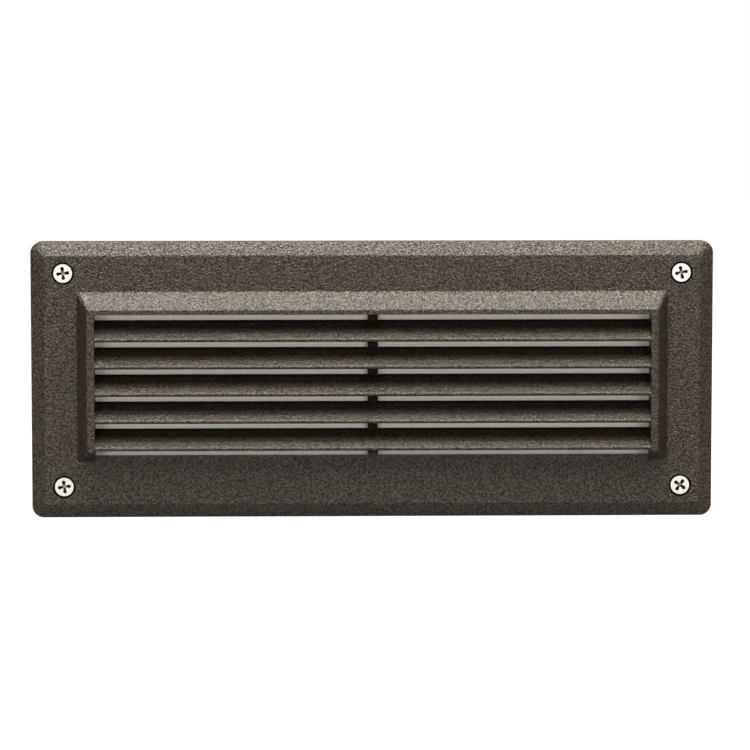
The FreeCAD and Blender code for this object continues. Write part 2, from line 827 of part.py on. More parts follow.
def make_housing():
    body = new_body("housing")
    flange = new_sketch(body, "flange_outline", "XZ_Plane")
    rounded_rectangle(flange, "flange_x", "flange_z", "plate_corner")
    pad(body, "flange", flange, "flange_front")

    # a shallow step holds the lens clips' side of the faceplate
    step = new_sketch(body, "step_outline", "XZ_Plane")
    rounded_rectangle(
        step, "(mouth_x + step_wall)", "(mouth_z + step_wall)", "(mouth_corner + step_wall)"
    )
    pad(body, "step", step, "step_depth + step_floor", reverse=True)

    # behind it the box narrows by the casting's draft
    corner = "(cavity_corner + body_wall)"
    box_front = new_sketch(body, "box_front", "XZ_Plane")
    rounded_rectangle(box_front, "body_x", "body_z", corner)
    box_back = new_sketch(body, "box_back", "XZ_Plane", "-(body_depth - body_back_edge)")
    rounded_rectangle(box_back, "(body_x - body_draft)", "(body_z - body_draft)", corner)
    loft(body, "Additive", "box", box_front, box_back)
    box_end = new_sketch(body, "box_end", "XZ_Plane", "-body_depth")
    edge = "(body_draft + body_back_edge)"
    rounded_rectangle(
        box_end, f"(body_x - {edge})", f"(body_z - {edge})", f"({corner} - body_back_edge)"
    )
    loft(body, "Additive", "box_back_edge", box_back, box_end)

    mouth = new_sketch(body, "mouth_outline", "XZ_Plane", "flange_front")
    rounded_rectangle(mouth, "mouth_x", "mouth_z", "mouth_corner")
    pocket(body, "mouth", mouth, "flange_front + step_depth")
    cavity_front = new_sketch(body, "cavity_front", "XZ_Plane", "-step_depth")
    rounded_rectangle(cavity_front, "cavity_x", "cavity_z", "cavity_corner")
    cavity_back = new_sketch(body, "cavity_back", "XZ_Plane", "-floor")
    rounded_rectangle(
        cavity_back, "(cavity_x - body_draft)", "(cavity_z - body_draft)", "cavity_corner"
    )
    loft(body, "Subtractive", "cavity", cavity_front, cavity_back)

    posts = [("standoff_x", "0"), ("-standoff_x", "0")]
    standoffs = new_sketch(body, "standoff_marks", "XZ_Plane", "-floor")
    circles(standoffs, posts, "standoff_radius")
    pad(body, "standoffs", standoffs, "floor - reflector_rear")
    pilots = new_sketch(body, "standoff_pilots", "XZ_Plane", "-reflector_rear")
    circles(pilots, posts, "clip_screw_radius + pilot_clearance")
    pocket(body, "pilots", pilots, "reflector_screw_length")

    # gussets between the step and the box, above and below, which also key into mortar
    gusset = new_sketch(body, "gusset_profile", "YZ_Plane", "-gusset_spacing")
    for tag, way in (("upper", ""), ("lower", "-")):
        outline(
            gusset,
            [
                ("step_depth", f"{way}(body_z - cut_margin)"),
                ("step_depth + step_floor + gusset_length", f"{way}(body_z - cut_margin)"),
                ("step_depth + step_floor", f"{way}(mouth_z + step_wall - cut_margin)"),
                ("step_depth", f"{way}(mouth_z + step_wall - cut_margin)"),
            ],
            tag,
        )
    first = pad(body, "first_gussets", gusset, "gusset_thickness", both_ways=True)
    row_of(body, "gussets", first, "X_Axis", "2 * gusset_spacing", "3")

    taps = new_sketch(body, "tap_marks", "XZ_Plane", "flange_front")
    circles(taps, four("screw_x", "screw_z"), "screw_shank_radius + thread_clearance")
    pocket(body, "tapped_holes", taps, "flange_front")

    anchors = new_sketch(body, "anchor_marks", "XZ_Plane", "-floor")
    anchor_x = "(cavity_x - mount_hole_inset)"
    circles(anchors, [(anchor_x, "0"), (f"-{anchor_x}", "0")], "mount_hole_radius")
    pocket(body, "anchor_holes", anchors, "body_wall")

    gland_pad = new_sketch(body, "gland_pad_mark", "XZ_Plane", "-floor - body_wall / 2")
    circle(gland_pad, "gland_place", "0", "gland_pad_radius")
    pad(body, "gland_pad", gland_pad, "body_wall / 2 + gland_pad", reverse=True)
    gland_hole = new_sketch(body, "gland_hole_mark", "XZ_Plane", "-floor")
    circle(gland_hole, "gland_place", "0", "gland_thread + gland_hole_gap")
    pocket(body, "gland_hole", gland_hole, "body_wall + gland_pad")

    entry_pad = new_sketch(body, "entry_pad_mark", "YZ_Plane", "-entry_face")
    circle(entry_pad, "entry_place", "0", "entry_radius + entry_boss_wall")
    pad(body, "entry_pad", entry_pad, "entry_boss + body_wall")
    entry_hole = new_sketch(body, "entry_hole_mark", "YZ_Plane", "-entry_face")
    circle(entry_hole, "entry_place", "0", "entry_radius")
    pocket(body, "entry_hole", entry_hole, "entry_boss + body_wall + body_draft + cut_margin", reverse=True)
    return body


# ---- reflector and bracket ---------------------------------------------------------


def make_reflector():
    body = new_body("reflector")
    back_x = "(reflector_x - reflector_flare_side)"
    back_z = "(reflector_z - reflector_rise)"
    front = new_sketch(body, "trough_front", "XZ_Plane", "-reflector_front")
    rounded_rectangle(front, "reflector_x", "reflector_z", "reflector_corner")
    back = new_sketch(body, "trough_back", "XZ_Plane", "-reflector_rear")
    rounded_rectangle(back, back_x, back_z, "reflector_corner")
    loft(body, "Additive", "trough", front, back)
    lip = new_sketch(body, "lip_outline", "XZ_Plane", "-reflector_front")
    rounded_rectangle(
        lip, "(reflector_x + reflector_lip)", "(reflector_z + reflector_lip)", "cavity_corner"
    )
    pad(body, "lip", lip, "reflector_sheet", reverse=True)
    wall = "reflector_sheet"
    hollow_front = new_sketch(body, "hollow_front", "XZ_Plane", "-reflector_front")
    rounded_rectangle(
        hollow_front, f"(reflector_x - {wall})", f"(reflector_z - {wall})",
        f"(reflector_corner - {wall})",
    )
    hollow_back = new_sketch(body, "hollow_back", "XZ_Plane", "-reflector_back")
    rounded_rectangle(
        hollow_back, f"({back_x} - {wall})", f"({back_z} - {wall})", f"(reflector_corner - {wall})"
    )
    loft(body, "Subtractive", "hollow", hollow_front, hollow_back)
    holes = new_sketch(body, "hole_marks", "XZ_Plane", "-reflector_back")
    circle(holes, "0", "0", "grommet_neck + grommet_gap", "grommet")
    circles(holes, [("standoff_x", "0"), ("-standoff_x", "0")], "reflector_hole_radius", "screw")
    circles(holes, rivet_places(), "rivet_radius + rivet_hole_gap", "rivet")
    pocket(body, "holes", holes, "reflector_sheet")
    return body


def rivet_places():
    return [("rivet_spread", "0"), ("-rivet_spread", "0")]


def make_reflector_screws():
    return pan_screws(
        "reflector_screws", "XZ_Plane", [("standoff_x", "0"), ("-standoff_x", "0")],
        "-reflector_screw_start", "-reflector_back", "reflector_screw_length", True,
    )


def make_bracket():
    """A folded strip: a base on the reflector and a leg for each lampholder."""
    body = new_body("lampholder_bracket")
    strip = new_sketch(body, "strip_profile", "XY_Plane")
    inner_bend = "(bracket_bend - bracket_sheet)"
    outline(
        strip,
        [
            ("-bracket_leg", "bracket_front"),
            ("-(bracket_leg - bracket_sheet)", "bracket_front"),
            ("-(bracket_leg - bracket_sheet)", f"bracket_base - {inner_bend}", inner_bend, 1),
            (f"-(bracket_leg - bracket_sheet - {inner_bend})", "bracket_base"),
            (f"bracket_leg - bracket_sheet - {inner_bend}", "bracket_base", inner_bend, 1),
            ("bracket_leg - bracket_sheet", f"bracket_base - {inner_bend}"),
            ("bracket_leg - bracket_sheet", "bracket_front"),
            ("bracket_leg", "bracket_front"),
            ("bracket_leg", "reflector_back - bracket_bend", "bracket_bend", 1),
            ("bracket_leg - bracket_bend", "reflector_back"),
            ("-(bracket_leg - bracket_bend)", "reflector_back", "bracket_bend", 1),
            ("-bracket_leg", "reflector_back - bracket_bend"),
        ],
    )
    bent = pad(body, "strip", strip, "bracket_width", both_ways=True)
    edge_z, tip = value("bracket_width / 2"), value("bracket_front")
    dress(
        body, "Fillet", "leg_corners", bent, "Radius", "bracket_leg_corner",
        lambda point: abs(point.y - tip) < COINCIDENT and abs(abs(point.z) - edge_z) < COINCIDENT,
    )
    leg_holes = new_sketch(body, "leg_holes", "YZ_Plane")
    circle(leg_holes, "lamp_axis", "0", "holder_neck_radius + holder_neck_gap")
    pocket(body, "holder_holes", leg_holes, "bracket_span + 2 * cut_margin", both_ways=True)
    base_holes = new_sketch(body, "base_holes", "XZ_Plane", "-bracket_base")
    circle(base_holes, "0", "0", "grommet_flange + bracket_grommet_gap", "grommet")
    circles(base_holes, rivet_places(), "rivet_radius + rivet_hole_gap", "rivet")
    pocket(body, "holes_in_base", base_holes, "bracket_sheet")
    return body


def make_bracket_rivets():
    body = new_body("bracket_rivets")
    heads = new_sketch(body, "heads", "XZ_Plane", "-bracket_base")
    circles(heads, rivet_places(), "rivet_head_radius")
    pad(body, "head", heads, "rivet_head_height")
    shanks = new_sketch(body, "shanks", "XZ_Plane", "-bracket_base")
    circles(shanks, rivet_places(), "rivet_radius")
    pad(body, "shank", shanks, "bracket_sheet + reflector_sheet", reverse=True)
    tails = new_sketch(body, "tails", "XZ_Plane", "-reflector_rear")
    circles(tails, rivet_places(), "rivet_tail_radius")
    pad(body, "tail", tails, "rivet_head_height", reverse=True)
    return body


# ---- lampholders and lamps (right-hand ones, on an axis along X) ---------------------


def make_lampholder(label):
    body = new_body(label)
    half = new_sketch(body, "holder_profile", "XY_Plane", "0", "bracket_leg", "lamp_axis")
    outline(
        half,
        [
            ("-holder_rear", "0"),
            ("holder_collar + holder_cup", "0"),
            ("holder_collar + holder_cup", "holder_cup_radius"),
            ("holder_collar", "holder_cup_radius"),
            ("holder_collar", "holder_collar_radius"),
            ("0", "holder_collar_radius"),
            ("0", "holder_neck_radius"),
            ("-holder_rear", "holder_neck_radius"),
        ],
    )
    revolve(body, "holder", half, "H_Axis")
    # two barbs snap behind the bracket's leg
    barbs = new_sketch(body, "barb_profile", "XY_Plane", "0", "bracket_leg", "lamp_axis")
    barb_start = "(bracket_sheet + holder_barb_gap)"
    for tag, way in (("near", "-"), ("far", "")):
        outline(
            barbs,
            [
                (f"-{barb_start}", f"{way}(holder_neck_radius - join_depth)"),
                (f"-{barb_start}", f"{way}(holder_neck_radius + holder_barb)"),
                (f"-({barb_start} + holder_barb_length)", f"{way}(holder_neck_radius - join_depth)"),
            ],
            tag,
        )
    pad(body, "barbs", barbs, "holder_barb_width", both_ways=True)
    slot = new_sketch(body, "slot_outline", "YZ_Plane", "holder_face", "lamp_axis")
    rounded_rectangle(slot, "slot_y", "slot_z", "contact_back_gap * 2")
    pocket(body, "wedge_slot", slot, "slot_depth")
    lead_holes = new_sketch(body, "lead_hole_marks", "YZ_Plane", "holder_back", "lamp_axis")
    circles(
        lead_holes, [("0", "lead_pair"), ("0", "-lead_pair")], "lead_radius + lead_hole_gap"
    )
    pocket(body, "lead_holes", lead_holes, "lead_insert + lead_hole_gap", reverse=True)
    return body


def make_contacts(label):
    """Two springs that press on the wedge base's folded wires, with flared mouths."""
    body = new_body(label)
    for tag, way in (("upper", ""), ("lower", "-")):
        strip = new_sketch(
            body, f"{tag}_strip", "XY_Plane", f"{way}contact_offset", "0", "lamp_axis"
        )
        outline(
            strip,
            [
                ("slot_bottom + contact_back_gap", f"{way}contact_inner"),
                ("holder_face - contact_mouth", f"{way}contact_inner"),
                ("holder_face - contact_end_gap", f"{way}(contact_inner + contact_back_gap / 2)"),
                ("holder_face - contact_end_gap", f"{way}contact_outer"),
                ("slot_bottom + contact_back_gap", f"{way}contact_outer"),
            ],
        )
        pad(body, f"{tag}_spring", strip, "contact_width", both_ways=True)
    return body


def make_lamp(label):
    """A hollow glass envelope with a flat pinched wedge at its neck."""
    body = new_body(label)
    half = new_sketch(body, "glass_profile", "XY_Plane", "0", "lamp_start", "lamp_axis")
    inner = "(lamp_radius - lamp_wall)"
    dome = "(lamp_glass_length - lamp_radius)"
    outline(
        half,
        [
            ("0", "0"),
            ("lamp_base_wall", "0"),
            ("lamp_base_wall", "lamp_neck_radius - lamp_wall"),
            ("lamp_shoulder + lamp_wall / 2", inner),
            (dome, inner, inner, -1),
            ("lamp_glass_length - lamp_wall", "0"),
            ("lamp_glass_length", "0", "lamp_radius", 1),
            (dome, "lamp_radius"),
            ("lamp_shoulder", "lamp_radius"),
            ("0", "lamp_neck_radius"),
        ],
    )
    revolve(body, "envelope", half, "H_Axis")
    wedge = new_sketch(body, "wedge_outline", "YZ_Plane", "wedge_tip", "lamp_axis")
    rounded_rectangle(wedge, "(wedge_thickness / 2)", "(wedge_width / 2)", "(wedge_thickness / 4)")
    pad(body, "wedge", wedge, "lamp_start - wedge_tip + lamp_wall")
    return body


def make_filament(label):
    """Two support wires in the glass and the coil's outer form between them."""
    pieces = []
    post_start = "lamp_start + lamp_base_wall"
    for tag, way in (("upper", ""), ("lower", "-")):
        post = doc.addObject("Part::Cylinder", f"{label}_{tag}_post")
        bind(post, "Radius", "filament_post_radius")
        bind(post, "Height", "filament_reach")
        post.Placement.Rotation = FreeCAD.Rotation(FreeCAD.Vector(0, 1, 0), FULL_TURN / 4)
        bind(post, "Placement.Base.x", post_start)
        bind(post, "Placement.Base.y", "lamp_axis")
        bind(post, "Placement.Base.z", f"{way}filament_post_spread")
        pieces.append(post)
    coil = doc.addObject("Part::Cylinder", f"{label}_coil")
    bind(coil, "Radius", "filament_radius")
    bind(coil, "Height", "2 * filament_post_spread + 2 * filament_radius")
    bind(coil, "Placement.Base.x", f"{post_start} + filament_reach")
    bind(coil, "Placement.Base.y", "lamp_axis")
    bind(coil, "Placement.Base.z", "-(filament_post_spread + filament_radius)")
    fused = doc.addObject("Part::MultiFuse", label)
    fused.Shapes = pieces + [coil]
    fused.Label = label
    return fused


# ---- wiring ------------------------------------------------------------------------


def make_grommet():
    body = new_body("lead_grommet")
    half = new_sketch(body, "grommet_profile", "XY_Plane")
    front, back = "reflector_back - grommet_gap / 2", "reflector_rear + grommet_gap / 2"
    outline(
        half,
        [
            ("grommet_bore", f"{front} - grommet_lip"),
            ("grommet_flange", f"{front} - grommet_lip"),
            ("grommet_flange", front),
            ("grommet_neck", front),
            ("grommet_neck", back),
            ("grommet_flange", back),
            ("grommet_flange", f"{back} + grommet_lip"),
            ("grommet_bore", f"{back} + grommet_lip"),
        ],
    )
    revolve(body, "grommet", half)
    return body


def rounded_path(corners):
    """Straight runs joined by tangent arcs, each arc as large as its two runs allow."""
    runs_share = 0.45
    edges, radii = [], []
    start = corners[0]
    for before, here, after in zip(corners, corners[1:], corners[2:]):
        back = (before - here).normalize()
        ahead = (after - here).normalize()
        half_turn_angle = (math.pi - back.getAngle(ahead)) / 2
        trim = runs_share * min((here - before).Length, (after - here).Length)
        first, last = here + back * trim, here + ahead * trim
        radius = trim / math.tan(half_turn_angle)
        middle = (back + ahead).normalize()
        centre = here + middle * math.hypot(radius, trim)
        edges.append(Part.LineSegment(start, first).toShape())
        edges.append(Part.Arc(first, centre - middle * radius, last).toShape())
        radii.append(radius)
        start = last
    edges.append(Part.LineSegment(start, corners[-1]).toShape())
    return Part.Wire(edges), radii


def tube(corners, radius):
    path, radii = rounded_path(corners)
    ring = Part.Circle(corners[0], corners[1] - corners[0], radius)
    solid = path.makePipeShell([Part.Wire(ring.toShape())], True, False)
    share = solid.Volume / (math.pi * radius**2 * path.Length)
    print(f"lead: length {path.Length:.1f}, bends {[round(r, 1) for r in radii]}, fill {share:.3f}")
    return solid


def make_lamp_leads():
    """Two insulated leads from each lampholder, through the grommet to the block."""
    lane, pair, axis = value("lead_lane"), value("lead_pair"), value("lamp_axis")
    start = value("holder_back + lead_insert")
    depth, end = value("block_entry"), -value("block_start + lead_insert")
    through = value("reflector_rear + grommet_lip") + 4 * value("lead_radius")
    solids = []
    for up in (1, -1):
        near, far = up * value("pole_near"), up * value("pole_far")
        left = [
            (-start, axis, up * pair),
            (-lane, axis, up * pair),
            (-lane, depth, near),
            (end, depth, near),
        ]
        right = [
            (start, axis, up * pair),
            (lane, axis, up * pair),
            (lane, through, up * pair),
            (-lane, depth, far),
            (end, depth, far),
        ]
        for route in (left, right):
            solids.append(tube([FreeCAD.Vector(*p) for p in route], value("lead_radius")))
    leads = doc.addObject("Part::Feature", "lamp_leads")
    leads.Shape = Part.makeCompound(solids)
    leads.Label = "lamp_leads"
    return leads


def pole_heights():
    return ["pole_near", "-pole_near", "pole_far", "-pole_far"]


def terminal_places():
    mid = "(block_start + block_length / 2)"
    return [
        (f"-({mid} + {way} * terminal_row)", z) for way in ("1", "-1") for z in pole_heights()
    ]


def make_terminal_block():
    body = new_body("terminal_block")
    mid = "-(block_start + block_length / 2)"
    plan = new_sketch(body, "block_plan", "XZ_Plane", "-floor", mid)
    rounded_rectangle(plan, "(block_length / 2)", "(block_width / 2)", "terminal_screw_radius")
    pad(body, "block", plan, "block_height")
    wells = new_sketch(body, "well_marks", "XZ_Plane", "-block_front")
    circles(wells, terminal_places(), "terminal_screw_radius + terminal_well_gap")
    pocket(body, "wells", wells, "terminal_well")
    fixing = new_sketch(body, "fixing_hole", "XZ_Plane", "-block_front", mid)
    circle(fixing, "0", "0", "clip_head_radius + terminal_well_gap", "seat")
    pocket(body, "fixing_seat", fixing, "clip_head_height + terminal_well_gap")
    bore = new_sketch(body, "fixing_bore", "XZ_Plane", "-block_front", mid)
    circle(bore, "0", "0", "clip_screw_radius + terminal_well_gap", "bore")
    pocket(body, "fixing_bore_cut", bore, "block_height")
    entries = new_sketch(body, "entry_marks", "YZ_Plane", "-block_start")
    circles(
        entries, [("block_entry", z) for z in pole_heights()], "lead_radius + lead_hole_gap"
    )
    pocket(body, "wire_entries", entries, "lead_insert + lead_hole_gap")
    far_entries = new_sketch(body, "supply_marks", "YZ_Plane", "-block_end")
    circles(
        far_entries, [("block_entry", z) for z in pole_heights()], "lead_radius + lead_hole_gap"
    )
    pocket(body, "supply_entries", far_entries, "lead_insert + lead_hole_gap", reverse=True)
    return body


def make_terminal_screws():
    body = new_body("terminal_screws")
    heads = new_sketch(body, "heads", "XZ_Plane", "-(block_front + terminal_well)")
    circles(heads, terminal_places(), "terminal_screw_radius")
    pad(body, "head", heads, "terminal_screw_height")
    return body


def make_block_screw():
    under_head = "-(block_front + clip_head_height)"
    place = [("-(block_start + block_length / 2)", "0")]
    return pan_screws(
        "block_fixing_screw", "XZ_Plane", place, "-block_front", under_head,
        "block_height - clip_head_height", True,
    )


# ---- cable entries -----------------------------------------------------------------


def make_gland_body():
    body = new_body("gland_body")
    half = new_sketch(body, "gland_profile", "XY_Plane", "0", "gland_place")
    seat = "(gland_bore + gland_seal_wall + gland_hole_gap / 2)"
    outline(
        half,
        [
            ("gland_bore", "pad_face - gland_inner_stem - body_wall"),
            ("gland_thread", "pad_face - gland_inner_stem - body_wall"),
            ("gland_thread", "gland_end"),
            (seat, "gland_end"),
            (seat, "gland_hex_end"),
            ("gland_bore", "gland_hex_end"),
        ],
    )
    revolve(body, "barrel", half)
    collar = new_sketch(body, "collar_outline", "XZ_Plane", "-gland_hex_start", "gland_place")
    hexagon(collar, "gland_hex")
    circle(collar, "0", "0", "(gland_thread + gland_bore) / 2", "inside")
    pad(body, "collar", collar, "gland_hex_height", reverse=True)
    return body


def ring_piece(label, plane, start, length, inner, outer, across, up, reverse):
    body = new_body(label)
    ring = new_sketch(body, "ring", plane, start, across, up)
    circle(ring, "0", "0", outer, "outer")
    circle(ring, "0", "0", inner, "inner")
    pad(body, "band", ring, length, reverse=reverse)
    return body


def make_gland_washer():
    return ring_piece(
        "gland_washer", "XZ_Plane", "-pad_face", "gland_washer", "gland_thread + gland_hole_gap",
        "gland_hex / 2", "gland_place", "0", True,
    )


def make_gland_locknut():
    body = new_body("gland_locknut")
    nut = new_sketch(body, "nut_outline", "XZ_Plane", "-floor", "gland_place")
    hexagon(nut, "gland_hex")
    circle(nut, "0", "0", "gland_thread + thread_clearance", "thread")
    pad(body, "nut", nut, "gland_nut_height")
    return body


def make_gland_seal():
    return ring_piece(
        "gland_seal", "XZ_Plane", "-gland_hex_end", "gland_cap_end - gland_cap_lid - gland_hex_end",
        "gland_bore", "gland_bore + gland_seal_wall", "gland_place", "0", True,
    )


def make_gland_cap():
    """A domed cap nut with a flatted grip, screwed over the barrel and the seal."""
    body = new_body("gland_cap")
    half = new_sketch(body, "cap_profile", "XY_Plane", "0", "gland_place")
    lid = "(gland_cap_end - gland_cap_lid)"
    round_size = "gland_cap_lid"
    outline(
        half,
        [
            ("gland_thread + thread_clearance", "gland_cap_start"),
            ("gland_cap_radius", "gland_cap_start"),
            ("gland_cap_radius", f"gland_cap_end - {round_size}", round_size, 1),
            (f"gland_cap_radius - {round_size}", "gland_cap_end"),
            ("gland_bore", "gland_cap_end"),
            ("gland_bore", lid),
            ("gland_thread + thread_clearance", lid),
        ],
    )
    revolve(body, "cap", half)
    flats = new_sketch(body, "grip_flats", "XZ_Plane", "-gland_cap_start", "gland_place")
    circle(flats, "0", "0", "gland_cap_radius + cut_margin", "outside")
    hexagon(flats, "gland_cap_flats")
    pocket(body, "grip", flats, "gland_cap_grip")
    return body


def make_entry_plug():
    body = new_body("entry_plug")
    half = new_sketch(body, "plug_profile", "XY_Plane", "0", "0", "entry_place")
    outline(
        half,
        [
            ("-plug_head_end", "0"),
            ("-plug_head_end", "plug_head_radius - plug_edge"),
            ("-(plug_head_end - plug_edge)", "plug_head_radius"),
            ("-plug_head_start", "plug_head_radius"),
            ("-plug_head_start", "entry_radius - plug_gap"),
            ("-(plug_head_start - plug_stem)", "entry_radius - plug_gap"),
            ("-(plug_head_start - plug_stem)", "0"),
        ],
    )
    revolve(body, "plug", half, "H_Axis")
    socket = new_sketch(body, "socket_outline", "YZ_Plane", "-plug_head_end", "entry_place")
    hexagon(socket, "plug_hex")
    pocket(body, "hex_socket", socket, "plug_socket", reverse=True)
    return body


def make_entry_seal():
    return ring_piece(
        "entry_plug_seal", "YZ_Plane", "-plug_head_start", "plug_seal", "entry_radius",
        "plug_head_radius - plug_seal_inset", "entry_place", "0", False,
    )


# ---- the whole light ---------------------------------------------------------------

nodes = [
    make_faceplate(),
    make_face_screws(),
    make_screw_retainers(),
    make_face_gasket(),
    make_lens(),
    make_lens_gasket(),
    make_lens_clips(),
    make_lens_clip_screws(),
    make_housing(),
    make_reflector(),
    make_reflector_screws(),
    make_bracket(),
    make_bracket_rivets(),
    make_grommet(),
    make_lamp_leads(),
    make_terminal_block(),
    make_terminal_screws(),
    make_block_screw(),
    make_gland_body(),
    make_gland_washer(),
    make_gland_locknut(),
    make_gland_seal(),
    make_gland_cap(),
    make_entry_plug(),
    make_entry_seal(),
]
for build, name in (
    (make_lampholder, "lampholder"),
    (make_contacts, "socket_contacts"),
    (make_lamp, "lamp"),
    (make_filament, "filament"),
):
    nodes.append(build(f"{name}_right"))
    nodes.append(build(f"{name}_left"))
    doc.recompute()
    half_turn(nodes[-1])

doc.recompute()

CUTTING = ("PartDesign::Pocket", "PartDesign::SubtractiveLoft", "PartDesign::Hole")
for item in doc.Objects:
    if "Invalid" in item.State or "Error" in item.State:
        raise RuntimeError(f"{item.Label} failed: {item.State}")
    if item.TypeId in CUTTING and item.Shape.Volume >= item.BaseFeature.Shape.Volume:
        raise RuntimeError(f"{item.Label} cuts nothing")

os.makedirs("parts", exist_ok=True)
for node in nodes:
    shape = node.Shape
    if shape.isNull() or not shape.isValid():
        raise RuntimeError(f"{node.Label} has no valid shape")
    shape.exportStep(f"parts/{node.Label}.step")
    print(f"{node.Label}: {len(shape.Solids)} solids, {shape.Volume:.0f} mm3")
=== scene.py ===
import math

import bpy
import numpy as np
from mathutils import Matrix, Vector


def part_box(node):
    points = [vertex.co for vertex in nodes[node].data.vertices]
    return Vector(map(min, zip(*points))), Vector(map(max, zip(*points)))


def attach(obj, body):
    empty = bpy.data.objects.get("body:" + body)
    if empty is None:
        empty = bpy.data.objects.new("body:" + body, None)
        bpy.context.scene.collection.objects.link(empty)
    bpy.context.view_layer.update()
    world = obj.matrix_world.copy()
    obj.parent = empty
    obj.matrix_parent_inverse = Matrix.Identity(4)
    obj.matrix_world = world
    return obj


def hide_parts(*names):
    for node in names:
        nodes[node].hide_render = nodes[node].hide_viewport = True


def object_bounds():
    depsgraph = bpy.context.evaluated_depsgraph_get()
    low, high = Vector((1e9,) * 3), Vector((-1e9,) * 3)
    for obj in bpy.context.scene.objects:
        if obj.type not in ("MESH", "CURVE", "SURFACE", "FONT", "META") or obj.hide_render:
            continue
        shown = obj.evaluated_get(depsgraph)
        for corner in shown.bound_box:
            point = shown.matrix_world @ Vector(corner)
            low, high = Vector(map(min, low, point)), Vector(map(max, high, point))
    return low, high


# Recessed step light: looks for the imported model. Metres, +X right, +Z up, -Y out of the wall.

mm = 0.001
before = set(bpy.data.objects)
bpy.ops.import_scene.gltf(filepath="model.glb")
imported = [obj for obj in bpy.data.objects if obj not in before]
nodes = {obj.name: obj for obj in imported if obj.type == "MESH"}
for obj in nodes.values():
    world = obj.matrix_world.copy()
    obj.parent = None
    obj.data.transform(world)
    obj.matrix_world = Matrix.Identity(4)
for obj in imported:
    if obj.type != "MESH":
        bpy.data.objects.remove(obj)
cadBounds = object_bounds()
print("frame loaded:", len(nodes), "nodes")


# small tools: colours, nodes, meshes

def hexColour(code):  # sRGB hex to linear, channel by channel
    channels = np.array([int(code[i:i + 2], 16) for i in (1, 3, 5)]) / 255
    linear = np.where(channels <= 0.04045, channels / 12.92, ((channels + 0.055) / 1.055) ** 2.4)
    return (*linear.tolist(), 1.0)


def addNode(tree, kind, inputs=None, out=0, **settings):
    # an input is a value, or another node's output to link; out names the output that comes back
    node = tree.nodes.new("ShaderNode" + kind)
    for name, value in settings.items():
        setattr(node, name, value)
    for name, value in (inputs or {}).items():
        if isinstance(value, bpy.types.NodeSocket):
            tree.links.new(value, node.inputs[name])
        else:
            node.inputs[name].default_value = value
    return node.outputs[out] if node.outputs else node


def newMaterial(name, build, spec):
    # build gives the sockets that vary over the surface; those that don't are in the spec
    material = bpy.data.materials.new(name)
    material.use_nodes = True
    material.diffuse_color = hexColour(spec["colour"])
    tree = material.node_tree
    tree.nodes.clear()
    place = addNode(tree, "TexCoord", out="Object")
    plain = {"Base Color": hexColour(spec["colour"]), **spec.get("sockets", {})}
    shader = addNode(tree, "BsdfPrincipled", plain | build(tree, place, spec))
    addNode(tree, "OutputMaterial", {"Surface": shader})
    return material


def ringFaces(rows, columns, start):
    # quads between neighbouring rings of a grid that closes on itself, and a fan at each end
    row, column = np.meshgrid(np.arange(rows - 1), np.arange(columns), indexing="ij")
    near = start + row * columns + column
    far = start + row * columns + (column + 1) % columns
    quads = np.stack([near, far, far + columns, near + columns], -1).reshape(-1, 4)
    around = np.arange(columns)
    after = (around + 1) % columns
    firstPole = start + rows * columns
    lastRing = start + (rows - 1) * columns
    firstFan = np.stack([np.full(columns, firstPole), start + after, start + around], -1)
    lastFan = np.stack([np.full(columns, firstPole + 1), lastRing + around, lastRing + after], -1)
    return quads.tolist() + firstFan.tolist() + lastFan.tolist()


def solidOfRings(name, solids, material, body, replaced):
    # each solid is an array of rings (rows, columns, 3); its ends are closed with a centre point.
    # A fourth value at each point, if there is one, is kept as its dirt and painted shade
    points, faces, count = [], [], 0
    for rings in solids:
        rows, columns, values = rings.shape
        poles = np.stack([rings[0].mean(0), rings[-1].mean(0)])
        points.append(np.vstack([rings.reshape(-1, values), poles]))
        faces += ringFaces(rows, columns, count)
        count += rows * columns + 2
    mesh = bpy.data.meshes.new(name)
    table = np.vstack(points)
    mesh.from_pydata(table[:, :3].tolist(), [], faces)
    if table.shape[1] > 3:
        mesh.attributes.new("dirtAndShade", "FLOAT", "POINT").data.foreach_set("value", table[:, 3].tolist())
    mesh.shade_smooth()
    mesh.update()
    mesh.materials.append(material)
    piece = bpy.data.objects.new(name, mesh)
    bpy.context.scene.collection.objects.link(piece)
    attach(piece, body)
    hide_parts(replaced)


def dress(material, *names):
    for name in names:
        data = nodes[name].data
        data.materials.clear()
        data.materials.append(material)


# patterns that the finishes share

usualTones = (0.35, 0.65)
usualNoise = {"From Min": 0.3, "From Max": 0.7}  # where most of a noise pattern's values lie


def blend(tree, tone, spec):
    # the spec's two colours, the second one where the tone is high. A colour Mix takes its share
    # at input 0 and its colours at 6 and 7, and gives the result at output 2
    start, end = spec.get("toneRange", usualTones)
    share = addNode(tree, "MapRange", {"Value": tone, "From Min": start, "From Max": end})
    first, second = (hexColour(code) for code in spec["colours"])
    return addNode(tree, "Mix", {0: share, 6: first, 7: second}, 2, data_type="RGBA")


def mottled(tree, place, spec, tone=None):
    # cloudy noise, its blobs about sizeMm across, moves the roughness and the relief. The colour
    # follows the tone, or the noise as well where no tone is given
    if "stretch" in spec:
        place = addNode(tree, "Mapping", {"Vector": place, "Scale": spec["stretch"]})
    noise = addNode(tree, "TexNoise", {
        "Vector": place, "Scale": 1 / (spec["sizeMm"] * mm),
        "Detail": spec.get("detail", 2.0), "Roughness": spec.get("breakUp", 0.5)})
    sockets = {}
    if "colours" in spec:
        sockets["Base Color"] = blend(tree, noise if tone is None else tone, spec)
    if "roughness" in spec:
        low, high = spec["roughness"]
        sockets["Roughness"] = addNode(tree, "MapRange", {
            "Value": noise, **usualNoise, "To Min": low, "To Max": high})
    if "depthMm" in spec:
        sockets["Normal"] = addNode(tree, "Bump", {"Height": noise, "Distance": spec["depthMm"] * mm})
    return sockets


